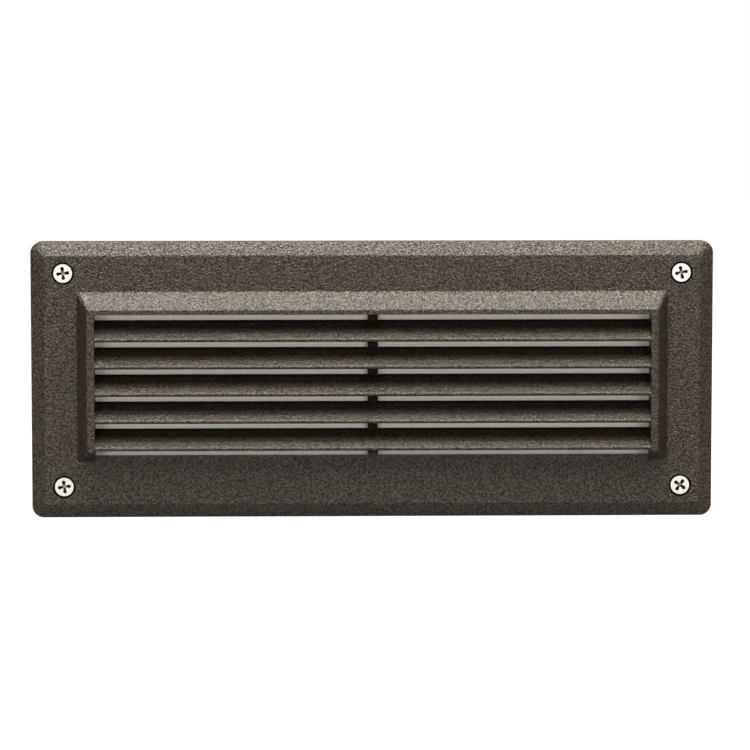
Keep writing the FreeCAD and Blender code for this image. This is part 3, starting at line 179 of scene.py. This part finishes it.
def dirtyAndShaded(tree, place, spec):  # the colour follows the dirt and painted shade kept at the screws' points
    dirtAndShade = addNode(tree, "Attribute", out="Fac", attribute_name="dirtAndShade")
    return mottled(tree, place, spec, dirtAndShade)


numberSixHead = 3.325 * mm  # the face screws' head radius

# Bronze polyester powder, sprayed and baked on die-cast aluminium: a pebbled skin that breaks
# highlights up, with painted shade darkening the low places between the pebbles. The
# countersinks are painted near black and dull, and the inside of the louvre darker and duller:
# both are painted shade. The grain is finer on the real one, and is drawn as coarse as it
# needs to show
powderCoat = dict(
    colour="#4a4036", colours=("#120e09", "#33291c"), toneRange=(0.38, 0.64),
    turn=(0.6, 0.4, 0.5), grainMm=0.4, grainDetail=1.0, grainDepthMm=0.16,
    pebbleMm=0.72, pebbleBreakUp=0.6, pebbleDepthMm=0.44, roughness=(0.32, 0.46), shine=(0.3, 0.8),
    # painted shade: near black in the countersinks, and darker inside the louvre's window
    sunkRadiusMm=3.85, sunkColour="#050404", deepMm=(-8.2, -7.6), deepCover=0.42,
    windowMm=dict(X=95.0, Z=25.0), sockets={"IOR": 1.5, "Specular Tint": hexColour("#fff6ec")},
)


def inCountersink(tree, place, spec):
    # 1 where the distance from the nearest face screw's axis is under the countersink's radius
    _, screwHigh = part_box("face_screws")
    centre = (screwHigh.x - numberSixHead, 0.0, screwHigh.z - numberSixHead)
    across = addNode(tree, "VectorMath", {0: place}, operation="ABSOLUTE")
    offset = addNode(tree, "VectorMath", {0: across, 1: centre}, operation="SUBTRACT")
    flat = addNode(tree, "VectorMath", {0: offset, 1: (1, 0, 1)}, operation="MULTIPLY")
    away = addNode(tree, "VectorMath", {0: flat}, "Value", operation="LENGTH")
    return addNode(tree, "Math", {0: away, 1: spec["sunkRadiusMm"] * mm}, operation="LESS_THAN")


def plateLitShare(tree, place, spec):
    # how much of the plate's own colour and shine the painted shade leaves: 1 outside, less
    # within the window behind the louvre's front, and none in the countersinks
    deepFrom, deepTo = (depth * mm for depth in spec["deepMm"])
    deep = addNode(tree, "MapRange", {
        "Value": addNode(tree, "SeparateXYZ", {"Vector": place}, "Y"),
        "From Min": deepFrom, "From Max": deepTo})
    for axis, limit in spec["windowMm"].items():
        along = addNode(tree, "SeparateXYZ", {"Vector": place}, axis)
        off = addNode(tree, "Math", {0: along}, operation="ABSOLUTE")
        within = addNode(tree, "Math", {0: off, 1: limit * mm}, operation="LESS_THAN")
        deep = addNode(tree, "Math", {0: deep, 1: within}, operation="MULTIPLY")
    inner = addNode(tree, "MapRange", {"Value": deep, "To Min": 1.0, "To Max": spec["deepCover"]})
    sunk = inCountersink(tree, place, spec)
    outer = addNode(tree, "MapRange", {"Value": sunk, "To Min": 1.0, "To Max": 0.0})
    return addNode(tree, "Math", {0: inner, 1: outer}, operation="MULTIPLY")


def texturedPowder(tree, place, spec, litShare=1.0):
    # turned noise, so that its cells don't line up with the plate: pebbles with grain on them
    turned = addNode(tree, "Mapping", {"Vector": place, "Rotation": spec["turn"]})
    grain = addNode(tree, "TexNoise", {
        "Vector": turned, "Scale": 1 / (spec["grainMm"] * mm), "Detail": spec["grainDetail"]})
    # this noise also sets the colour, darker where the pebbles are low: painted shade between them
    pebble = addNode(tree, "TexNoise", {
        "Vector": turned, "Scale": 1 / (spec["pebbleMm"] * mm), "Roughness": spec["pebbleBreakUp"]})
    # the coat turns towards the near-black painted shade where the plate is shaded, with less shine and full
    # roughness there
    coat = addNode(tree, "Mix", {
        0: litShare, 6: hexColour(spec["sunkColour"]), 7: blend(tree, pebble, spec)}, 2, data_type="RGBA")
    start, end = spec["toneRange"]
    dull, bright = spec["shine"]
    shine = addNode(tree, "MapRange", {
        "Value": pebble, "From Min": start, "From Max": end, "To Min": dull, "To Max": bright})
    low, high = spec["roughness"]
    satin = addNode(tree, "MapRange", {"Value": grain, **usualNoise, "To Min": low, "To Max": high})
    grainRelief = addNode(tree, "Bump", {"Height": grain, "Distance": spec["grainDepthMm"] * mm})
    return {
        "Base Color": coat,
        "Specular IOR Level": addNode(tree, "Math", {0: shine, 1: litShare}, operation="MULTIPLY"),
        "Roughness": addNode(tree, "MapRange", {"Value": litShare, "To Min": 1.0, "To Max": satin}),
        "Normal": addNode(tree, "Bump", {
            "Height": pebble, "Distance": spec["pebbleDepthMm"] * mm, "Normal": grainRelief}),
    }


def powderOnPlate(tree, place, spec):
    return texturedPowder(tree, place, spec, plateLitShare(tree, place, spec))


bronzePowder = newMaterial("bronze_powder_coat", texturedPowder, powderCoat)
platePowder = newMaterial("bronze_powder_coat_on_plate", powderOnPlate, powderCoat)

# Stainless steel screws, cold-headed and tumbled: a satin near-white, with dirt and painted
# shade in the recess, and a painted shade ring at the rim of the face screws' heads. The scuffs
# are drawn coarser than the real ones
tumbledStainless = newMaterial("tumbled_stainless_steel", dirtyAndShaded, dict(
    colour="#f2f0ec", colours=("#dfdcd5", "#060504"), toneRange=(0.1, 0.8), sizeMm=0.25, detail=3.0,
    breakUp=0.6, roughness=(0.36, 0.5), depthMm=0.004, sockets={"Metallic": 0.6},
))

# Stainless spring strip, cold-rolled: highlights drawn out along X by the rolling scratches,
# which are coarser here than the real ones
rolledStainless = newMaterial("rolled_stainless_strip", mottled, dict(
    colour="#c4c4c1", stretch=(0.06, 1.0, 1.0), sizeMm=0.18, detail=4.0, breakUp=0.6,
    roughness=(0.24, 0.42), depthMm=0.003, sockets={"Metallic": 1.0},
))

# Mild steel sheet, electroplated with bright zinc: bluish grey with soft cloudy spangles
zincPlate = newMaterial("zinc_plated_steel", mottled, dict(
    colour="#b8bbbc", colours=("#a9adb0", "#c6c8c6"), sizeMm=5.0, detail=3.0,
    roughness=(0.28, 0.45), sockets={"Metallic": 1.0},
))

# The same plate on small cold-headed steel screws: smaller clouds, dirt and painted shade in recesses
platedScrew = newMaterial("zinc_plated_screw", dirtyAndShaded, dict(
    colour="#b8bbbc", colours=("#babdbe", "#16150f"), toneRange=(0.1, 0.9), sizeMm=1.2, detail=3.0,
    roughness=(0.3, 0.46), sockets={"Metallic": 1.0},
))

# Tempered glass, blasted with fine grit: an even white bloom that hides what is behind it. The
# grit's marks are drawn coarser than the real ones
frostedGlass = newMaterial("sandblasted_glass", mottled, dict(
    colour="#f7f0e6", sizeMm=0.3, breakUp=0.6, roughness=(0.55, 0.75), depthMm=0.01,
    sockets={"IOR": 1.5, "Transmission Weight": 0.05},
))

# Lamp glass, blown and pinched at the base: clear and glossy, its surface slightly wavy
clearGlass = newMaterial("lamp_glass", mottled, dict(
    colour="#ffffff", sizeMm=6.0, detail=1.0, depthMm=0.02,
    sockets={"IOR": 1.47, "Transmission Weight": 1.0, "Roughness": 0.02},
))

# Aluminium sheet, coil-coated with white enamel and baked: glossy, with a slight orange peel
whiteEnamel = newMaterial("white_enamelled_sheet", mottled, dict(
    colour="#ecebe6", sizeMm=1.6, detail=1.0, roughness=(0.18, 0.26), depthMm=0.006,
    sockets={"IOR": 1.5},
))


def foamed(tree, place, spec):  # round pores, dark in the middle
    pores = addNode(tree, "TexVoronoi", {
        "Vector": place, "Scale": 1 / (spec["poreMm"] * mm)}, "Distance")
    return {
        "Base Color": blend(tree, pores, spec),
        "Normal": addNode(tree, "Bump", {"Height": pores, "Distance": spec["depthMm"] * mm}),
    }


# Sponge rubber, expanded with closed cells and skived into sheet: matt, with fine pores
spongeRubber = newMaterial("sponge_rubber", foamed, dict(
    colour="#202020", colours=("#161616", "#2a2a2a"), toneRange=(0.1, 0.7), poreMm=0.5, depthMm=0.05,
    sockets={"Roughness": 0.85},
))

# Nitrile rubber, compression-moulded: a soft black with a faint bloom and a dull sheen
nitrileRubber = newMaterial("moulded_nitrile_rubber", mottled, dict(
    colour="#1f1e1d", colours=("#181817", "#262524"), sizeMm=0.8, detail=3.0,
    roughness=(0.5, 0.68), depthMm=0.01,
))

# Silicone rubber, calendered into sheet and die-cut: milky white, a little light goes in
siliconeSheet = newMaterial("silicone_sheet", mottled, dict(
    colour="#d2d0c9", colours=("#c9c7c0", "#dbd9d2"), sizeMm=2.0, depthMm=0.01,
    sockets={"Roughness": 0.5, "Subsurface Weight": 0.15, "Subsurface Scale": 2.0 * mm},
))


def flowMarked(tree, place, spec):  # the colour follows broad flow marks and not the grain
    flow = addNode(tree, "TexNoise", {"Vector": place, "Scale": 1 / (spec["flowMm"] * mm)})
    return mottled(tree, place, spec, flow)


# Glass-filled nylon, injected into a spark-eroded mould: an even dull grain, drawn coarser than
# the real one, with barely visible flow marks
blackNylon = newMaterial("glass_filled_nylon", flowMarked, dict(
    colour="#222223", colours=("#1d1d1e", "#262627"), flowMm=9.0, sizeMm=0.35, breakUp=0.6,
    roughness=(0.42, 0.56), depthMm=0.012,
))

# Phenolic resin, compression-moulded with wood flour: a brownish black with faint flecks
phenolic = newMaterial("phenolic_moulding", mottled, dict(
    colour="#241c17", colours=("#1c1613", "#33281f"), toneRange=(0.45, 0.75), sizeMm=0.5, detail=4.0,
    breakUp=0.7, roughness=(0.32, 0.45),
))

# Unfilled natural nylon, injection-moulded: waxy ivory, a little light goes in
naturalNylon = newMaterial("natural_nylon", mottled, dict(
    colour="#dfdbcd", colours=("#d8d3c5", "#e6e2d6"), sizeMm=6.0, depthMm=0.02,
    sockets={"Roughness": 0.38, "Subsurface Weight": 0.1, "Subsurface Scale": 3.0 * mm},
))

# Brass strip, rolled and pressed: yellow, with a light cloudy tarnish
brass = newMaterial("rolled_brass", mottled, dict(
    colour="#bd9a55", colours=("#b08d4a", "#c9a864"), sizeMm=3.0, detail=3.0,
    roughness=(0.22, 0.4), sockets={"Metallic": 1.0},
))

# Tungsten wire, drawn and coiled: a dull grey. The die marks are drawn coarser than real ones
tungsten = newMaterial("drawn_tungsten_wire", mottled, dict(
    colour="#8d8c8a", sizeMm=0.2, roughness=(0.35, 0.55), sockets={"Metallic": 1.0},
))


def sleeved(tree, place, spec):  # the leads above the middle are black and those below are white
    height = addNode(tree, "SeparateXYZ", {"Vector": place}, "Z")
    upper = addNode(tree, "Math", {0: height, 1: 0.0}, operation="GREATER_THAN")
    return mottled(tree, place, spec, upper)


# Silicone rubber, extruded over stranded wire: a soft satin skin, in black and in white
leadInsulation = newMaterial("silicone_insulation", sleeved, dict(
    colour="#211f1e", colours=("#d5d2c9", "#211f1e"), toneRange=(0.0, 1.0), sizeMm=1.5,
    roughness=(0.42, 0.58), depthMm=0.01,
))

dress(platePowder, "faceplate")
dress(bronzePowder, "housing", "entry_plug")
dress(spongeRubber, "face_gasket")
dress(siliconeSheet, "lens_gasket")
dress(frostedGlass, "lens")
dress(rolledStainless, "lens_clips")
dress(blackNylon, "screw_retainers", "gland_body", "gland_locknut", "gland_cap")
dress(whiteEnamel, "reflector")
dress(zincPlate, "lampholder_bracket", "bracket_rivets")
dress(phenolic, "lampholder_left", "lampholder_right")
dress(brass, "socket_contacts_left", "socket_contacts_right")
dress(clearGlass, "lamp_left", "lamp_right")
dress(nitrileRubber, "lead_grommet", "gland_washer", "gland_seal", "entry_plug_seal")
dress(leadInsulation, "lamp_leads")
dress(naturalNylon, "terminal_block")
print("finishes on the CAD nodes")


# screws

# the cross recess of a number 6 screw, and where dirt and painted shade lie on its head
crossRecess = dict(
    radiusMm=2.2, wingMm=0.4, centreMm=0.3, spreadMm=0.7, wallMm=0.12, floorGain=2.6, floorEnd=0.45,
    slimMm=0.42, endMm=0.65, endPlaceMm=1.6, softMm=0.1, paleMiddleMm=0.62, middleDirtAndShade=0.3,
    lineMm=2.6, lineSoftMm=0.09, lineGrime=0.36, lineEven=0.6, lineLean=0.4 / 1.5,
)


def crossRecessAt(x, y, spec):
    # the depth, and the dirt and painted shade, at a point of the head. A cross, deep in the middle and
    # running out to nothing at the wings' ends; the wings are widest at the centre and their walls are
    # steep. Dirt and painted shade fill the wings, most at their round ends, and the middle stays paler
    recess = crossRecess
    a = np.minimum(abs(x), abs(y)) / spec["recessSize"]
    b = np.maximum(abs(x), abs(y)) / spec["recessSize"]
    half = recess["wingMm"] + recess["centreMm"] * np.exp(-(b / recess["spreadMm"]) ** 2)
    wall = np.clip((half - a) / recess["wallMm"], 0, 1)
    reach = np.clip(1 - b / recess["radiusMm"], 0, 1)
    rise = recess["floorEnd"] + (1 - recess["floorEnd"]) * reach
    floor = np.clip(reach * recess["floorGain"], 0, 1) * rise
    soft, end = recess["softMm"], recess["endPlaceMm"]
    wing = np.clip((recess["slimMm"] - a) / soft + 0.5, 0, 1) * (b < end)
    tip = np.clip((recess["endMm"] - np.hypot(b - end, a)) / soft + 0.5, 0, 1)
    outside = np.clip((np.hypot(a, b) - recess["paleMiddleMm"]) / soft + 0.5, 0, 1)
    # dirt and painted shade in the wings, less of it in the middle
    dirtAndShade = np.maximum(wing, tip) * (recess["middleDirtAndShade"] + (1 - recess["middleDirtAndShade"]) * outside)
    # a faint turned line near the rim, stronger on one side
    line = np.exp(-((np.hypot(x, y) - recess["lineMm"]) / recess["lineSoftMm"]) ** 2)
    lean = recess["lineEven"] - recess["lineLean"] * (x + y) / recess["lineMm"]
    dirtAndShade = np.maximum(dirtAndShade, recess["lineGrime"] * line * lean)
    return spec["recessDepth"] * floor * wall * wall * (3 - 2 * wall), dirtAndShade


def slotAt(x, y, spec):  # a straight sawn slot through the middle, with dirt and painted shade in it
    inside = np.clip((spec["slotHalfMm"] - abs(y)) / spec["slotSoftMm"] + 0.5, 0, 1) + 0 * x
    # the slot is darkened: dirt and painted shade
    return spec["recessDepth"] * inside, spec["slotGrime"] * inside


def screwRings(spec, length, turn):
    # the screw's profile (radius, height along its axis) carried once round; the thread is a
    # ridge on the shank whose height follows the angle plus the distance along the axis
    columns, headRows = spec["columns"], spec["headRows"]
    shankRadius, pitch = spec["shankRadius"], spec["pitch"]
    neck = length - spec["headHeight"]
    angle = np.linspace(0, 2 * np.pi, columns, endpoint=False)
    shank = np.linspace(0, neck, int(spec["rowsPerTurn"] * neck / pitch) + 2)
    head = [(r, length - drop) for r, drop in spec["head"]]
    profile = np.array([(shankRadius * spec["tip"], 0)] + [(shankRadius, z) for z in shank] + head)
    radius = np.repeat(profile[:, :1], columns, 1)
    height = np.repeat(profile[:, 1:], columns, 1)
    ridge = 1 - np.abs(2 * ((height / pitch + angle / (2 * np.pi)) % 1) - 1)
    start = np.clip(height / pitch, 0, 1)
    end = np.clip((neck - height) / pitch, 0, 1)
    radius -= spec["threadDepth"] * (1 - ridge) * start * end
    # the head's rim, from rimRadius out, is painted near black: painted shade of the gap in the countersink
    shade = (profile[:, 0] >= spec["rimRadius"])[:, None] + 0 * height
    lower = np.stack([radius * np.cos(angle), radius * np.sin(angle), height, shade], -1)
    # the top of the head: rings that close in on its middle, lowered by the driver's recess
    topRadius, drop = spec["head"][-1]
    out = topRadius * np.linspace(1, 0, headRows + 1)[1:-1, None] + 0 * angle
    # the driver gives the recess's depth and its dirt and painted shade
    depth, dirtAndShade = spec["driver"](
        out * np.cos(angle + turn) / mm, out * np.sin(angle + turn) / mm, spec)
    crown = drop * (1 - (out / topRadius) ** 2)
    upper = np.stack([
        out * np.cos(angle), out * np.sin(angle), length - drop + crown - depth, dirtAndShade], -1)
    return np.vstack([lower, upper])


def placed(rings, centre, axis):  # local Z to the axis, at the centre; the fourth column is kept
    turn = np.array(Vector(axis).to_track_quat("Z", "X").to_matrix())
    return np.concatenate([rings[..., :3] @ turn.T + np.array(centre), rings[..., 3:]], -1)


def makeScrews(name, spec, material, body, node):
    # the CAD node's box gives where the heads and the tips are; the spec gives which corners
    # of the box hold a screw, and how far each one's recess is turned
    low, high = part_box(node)
    length = high.y - low.y
    side = high.y if spec["axis"] < 0 else low.y
    solids = []
    for (x, z), degrees in zip(spec["places"](low, high, spec["headRadius"]), spec["turnDegrees"]):
        rings = screwRings(spec, length, math.radians(degrees))
        solids.append(placed(rings, (x, side, z), (0, spec["axis"], 0)))
    solidOfRings(name, solids, material, body, node)


def cornersOf(low, high, inset):
    left, right = low.x + inset, high.x - inset
    return [(left, high.z - inset), (right, high.z - inset), (left, low.z + inset), (right, low.z + inset)]


def endsOf(low, high, inset):
    middle = (low.z + high.z) / 2
    return [(low.x + inset, middle), (high.x - inset, middle)]


def middleOf(low, high, inset):
    return [((low.x + high.x) / 2, (low.z + high.z) / 2)]


def columnsOf(low, high, inset):  # two columns of four, evenly spaced
    rows = np.linspace(low.z + inset, high.z - inset, 4).tolist()
    return [(x, z) for x in (low.x + inset, high.x - inset) for z in rows]


noRim = 1.0  # wider than any screw, so that the head's rim isn't darkened

# number 6 flat heads, 82 degrees under the head
faceScrew = dict(
    headRadius=numberSixHead, shankRadius=1.75 * mm, tip=0.55, pitch=0.794 * mm, threadDepth=0.3 * mm,
    # from rimRadius out, the head's rim gets a near-black painted shade ring
    headHeight=1.96 * mm, rimRadius=3.2 * mm, rowsPerTurn=10, headRows=44, columns=112,
    head=[(1.75 * mm, 1.96 * mm), (numberSixHead, 0.15 * mm), (3.25 * mm, 0.03 * mm), (3.12 * mm, 0.0)],
    driver=crossRecessAt, recessDepth=1.9 * mm, recessSize=1.0,
    axis=-1, places=cornersOf, turnDegrees=(-7, -12, -8, 35),
)
# pan heads of 2.5 mm screws
clipScrew = dict(
    headRadius=2.3 * mm, shankRadius=1.25 * mm, tip=0.55, pitch=0.45 * mm, threadDepth=0.17 * mm,
    headHeight=1.6 * mm, rimRadius=noRim, rowsPerTurn=8, headRows=26, columns=72,
    head=[
        (1.25 * mm, 1.6 * mm), (2.22 * mm, 1.6 * mm), (2.3 * mm, 1.5 * mm), (2.3 * mm, 0.8 * mm),
        (2.2 * mm, 0.45 * mm), (1.95 * mm, 0.24 * mm), (1.6 * mm, 0.12 * mm),
    ],
    driver=crossRecessAt, recessDepth=1.05 * mm, recessSize=0.6,
    axis=1, places=cornersOf, turnDegrees=(20, -35, 5, 62),
)
reflectorScrew = clipScrew | dict(axis=-1, places=endsOf, turnDegrees=(14, -28))
blockScrew = clipScrew | dict(axis=-1, places=middleOf, turnDegrees=(40,), pitch=0.8 * mm)
# slotted clamp screws of the terminal block
clampScrew = dict(
    headRadius=1.4 * mm, shankRadius=1.4 * mm, tip=0.55, pitch=0.4 * mm, threadDepth=0.12 * mm,
    headHeight=0.5 * mm, rimRadius=noRim, rowsPerTurn=6, headRows=20, columns=56,
    head=[(1.4 * mm, 0.5 * mm), (1.4 * mm, 0.12 * mm), (1.28 * mm, 0.0)],
    driver=slotAt, recessDepth=0.55 * mm, slotHalfMm=0.24, slotSoftMm=0.06, slotGrime=0.8,
    axis=-1, places=columnsOf, turnDegrees=(12, -40, 75, 3, 55, -20, 90, -64),
)

makeScrews("faceScrewSet", faceScrew, tumbledStainless, "face", "face_screws")
makeScrews("clipScrewSet", clipScrew, tumbledStainless, "face", "lens_clip_screws")
for name, spec, node in (
    ("reflectorScrewSet", reflectorScrew, "reflector_screws"),
    ("blockScrewSet", blockScrew, "block_fixing_screw"),
    ("clampScrewSet", clampScrew, "terminal_screws"),
):
    makeScrews(name, spec, platedScrew, "back_box", node)
print("screws")


# filaments

# boxInset is from the side of the CAD filament's box to the axis of its coil
coil = dict(
    boxInset=0.55 * mm, radius=0.47 * mm, wireRadius=0.06 * mm, pitch=0.2 * mm, perTurn=22, wireSides=8,
    closedTurns=1.2, closedRadius=0.25,
)
post = dict(
    radius=0.28 * mm, past=0.3 * mm, sides=20,
    run=(0.0, 0.5, 0.9, 0.96, 0.985, 1.0), taper=(1.0, 1.0, 1.0, 0.92, 0.7, 0.35),
)


def tubeAlong(path, side, radii, around):
    # rings square to the path: side is a vector across it at every point
    along = np.gradient(path, axis=0)
    along /= np.linalg.norm(along, axis=1, keepdims=True)
    side = side - along * (side * along).sum(1, keepdims=True)
    side /= np.linalg.norm(side, axis=1, keepdims=True)
    other = np.cross(along, side)
    angle = np.linspace(0, 2 * np.pi, around, endpoint=False)[None, :, None]
    ring = np.cos(angle) * side[:, None] + np.sin(angle) * other[:, None]
    return path[:, None] + ring * np.asarray(radii)[:, None, None]


def makeFilament(name, node, body):
    # two support wires out of the glass base, with rounded ends, and between them a close coil,
    # whose first and last turns draw in to the wires
    low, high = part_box(node)
    way = math.copysign(1, low.x + high.x)
    base = min(abs(low.x), abs(high.x))
    axisX = max(abs(low.x), abs(high.x)) - coil["boxInset"]
    y, half = (low.y + high.y) / 2, high.z - coil["boxInset"]
    reach = axisX + post["past"] - base
    run, radii = np.array(post["run"]), post["radius"] * np.array(post["taper"])
    solids = []
    for z in (-half, half):
        path = np.stack([way * (base + reach * run), y + 0 * run, z + 0 * run], -1)
        across = np.array([[0.0, 1.0, 0.0]]) + 0 * path
        solids.append(tubeAlong(path, across, radii, post["sides"]))
    turns = 2 * half / coil["pitch"]
    part = np.linspace(0, 1, int(turns * coil["perTurn"]))
    angle = 2 * np.pi * turns * part
    fromEnd = np.minimum(part, 1 - part) * turns
    closing = np.clip(fromEnd * coil["closedTurns"], coil["closedRadius"], 1)
    out = np.stack([np.cos(angle), np.sin(angle), 0 * angle], -1)
    centre = np.stack([0 * part + way * axisX, 0 * part + y, half * (2 * part - 1)], -1)
    helix = centre + out * (coil["radius"] * closing)[:, None]
    solids.append(tubeAlong(helix, out, 0 * part + coil["wireRadius"], coil["wireSides"]))
    solidOfRings(name, solids, tungsten, body, node)


makeFilament("leftFilament", "filament_left", "left_lamp")
makeFilament("rightFilament", "filament_right", "right_lamp")
print("filaments")


# floor, light and camera

# nearLift and farLift are how brightly the floor glows for the camera, near the object and far
# from it, and glossyLift is the share of that glow that reflections see
studio = dict(
    floorColour="#6a6866", floorSize=9.0, worldStrength=0.03, glossyStrength=0.05,
    nearLift=0.88, farLift=1.0, nearMetres=0.15, farMetres=0.6, glossyLift=0.4,
)
# softboxes from straight above to the front, weak ones at the sides and one behind; metres
lights = dict(
    overhead=dict(watts=14.0, size=(1.1, 0.24), place=(0.0, -0.05, 0.95)),
    high=dict(watts=16.0, size=(1.1, 0.2), place=(0.0, -0.34, 0.92)),
    key=dict(watts=11.0, size=(1.2, 0.3), place=(0.0, -0.66, 0.88)),
    leftFill=dict(watts=3.8, size=(0.4, 0.12), place=(-0.6, -1.5, 0.13)),
    rightFill=dict(watts=3.8, size=(0.4, 0.12), place=(0.6, -1.5, 0.13)),
    leftSide=dict(watts=0.3, size=(0.8, 0.4), place=(-1.0, -0.5, 0.25)),
    backFill=dict(watts=3.0, size=(1.4, 0.5), place=(0.0, 1.3, 0.4)),
    rightSide=dict(watts=0.3, size=(0.8, 0.4), place=(1.0, -0.5, 0.25)),
)


def seenRays(tree, *kinds):  # 1 for rays of any of these kinds, 0 for the rest
    seen = addNode(tree, "LightPath", out=kinds[0])
    for kind in kinds[1:]:
        seen = addNode(tree, "Math", {0: seen, 1: addNode(tree, "LightPath", out=kind)}, operation="MAXIMUM")
    return seen


def makeWorld():
    # white to the camera and through glass, dimmer in reflections and as light
    world = bpy.data.worlds.new("studio")
    bpy.context.scene.world = world
    world.use_nodes = True
    tree = world.node_tree
    tree.nodes.clear()
    glossy = addNode(tree, "MapRange", {
        "Value": seenRays(tree, "Is Glossy Ray"),
        "To Min": studio["worldStrength"], "To Max": studio["glossyStrength"]})
    direct = seenRays(tree, "Is Camera Ray", "Is Transmission Ray")
    strength = addNode(tree, "MapRange", {"Value": direct, "To Min": glossy, "To Max": 1.0})
    shader = addNode(tree, "Background", {"Color": (1, 1, 1, 1), "Strength": strength})
    addNode(tree, "OutputWorld", {"Surface": shader})


def makeFloor():
    low, _ = cadBounds
    half = studio["floorSize"] / 2
    mesh = bpy.data.meshes.new("floor")
    corners = [(-half, -half, low.z), (half, -half, low.z), (half, half, low.z), (-half, half, low.z)]
    mesh.from_pydata(corners, [], [(0, 1, 2, 3)])
    floor = bpy.data.objects.new("floor", mesh)
    bpy.context.scene.collection.objects.link(floor)
    material = bpy.data.materials.new("pale_studio_floor")
    material.use_nodes = True
    tree = material.node_tree
    tree.nodes.clear()
    # the floor glows for the camera and through glass, less in reflections, and gives no other
    # light. It glows a little less near the object, so that its shadow stays, and fully further
    # off, so that the horizon is white
    diffuse = addNode(tree, "BsdfDiffuse", {"Color": hexColour(studio["floorColour"])})
    place = addNode(tree, "TexCoord", out="Object")
    away = addNode(tree, "VectorMath", {0: place}, "Value", operation="LENGTH")
    glowing = addNode(tree, "MapRange", {
        "Value": away, "From Min": studio["nearMetres"], "From Max": studio["farMetres"],
        "To Min": studio["nearLift"], "To Max": studio["farLift"]})
    glossy = addNode(tree, "Math", {
        0: seenRays(tree, "Is Glossy Ray"), 1: studio["glossyLift"]}, operation="MULTIPLY")
    direct = seenRays(tree, "Is Camera Ray", "Is Transmission Ray")
    seen = addNode(tree, "Math", {0: direct, 1: glossy}, operation="MAXIMUM")
    lift = addNode(tree, "Math", {0: seen, 1: glowing}, operation="MULTIPLY")
    glow = addNode(tree, "Emission", {"Strength": lift})
    addNode(tree, "OutputMaterial", {"Surface": addNode(tree, "AddShader", {0: diffuse, 1: glow})})
    mesh.materials.append(material)


def makeSoftbox(name, place, size, watts):  # turned to the middle of the plate
    data = bpy.data.lights.new(name, "AREA")
    data.energy = watts
    data.shape = "RECTANGLE"
    data.size, data.size_y = size
    light = bpy.data.objects.new(name, data)
    light.location = place
    light.rotation_mode = "QUATERNION"
    light.rotation_quaternion = (-Vector(place)).to_track_quat("-Z", "Y")
    light.visible_camera = False
    bpy.context.scene.collection.objects.link(light)


# fitted to the plate's outline in the photograph
view = dict(
    place=(-34.6 * mm, -1208.1 * mm, 107.5 * mm), yawDegrees=1.687, pitchDegrees=5.039,
    lensMm=168.0, sensorMm=36.0, near=0.05, far=50.0,
)


def makeCamera():
    data = bpy.data.cameras.new("camera")
    data.sensor_width = view["sensorMm"]
    data.lens = view["lensMm"]
    data.clip_start, data.clip_end = view["near"], view["far"]
    camera = bpy.data.objects.new("camera", data)
    yaw, pitch = math.radians(view["yawDegrees"]), math.radians(view["pitchDegrees"])
    ahead = Vector((math.sin(yaw) * math.cos(pitch), math.cos(yaw) * math.cos(pitch), -math.sin(pitch)))
    right = Vector((math.cos(yaw), -math.sin(yaw), 0))
    up = right.cross(ahead)
    turn = Matrix((right, up, -ahead)).transposed()
    camera.matrix_world = Matrix.Translation(view["place"]) @ turn.to_4x4()
    bpy.context.scene.collection.objects.link(camera)
    bpy.context.scene.camera = camera


makeWorld()
makeFloor()
for name, light in lights.items():
    makeSoftbox(name, **light)
makeCamera()
bpy.context.scene.view_settings.view_transform = "Standard"
print("studio ready")
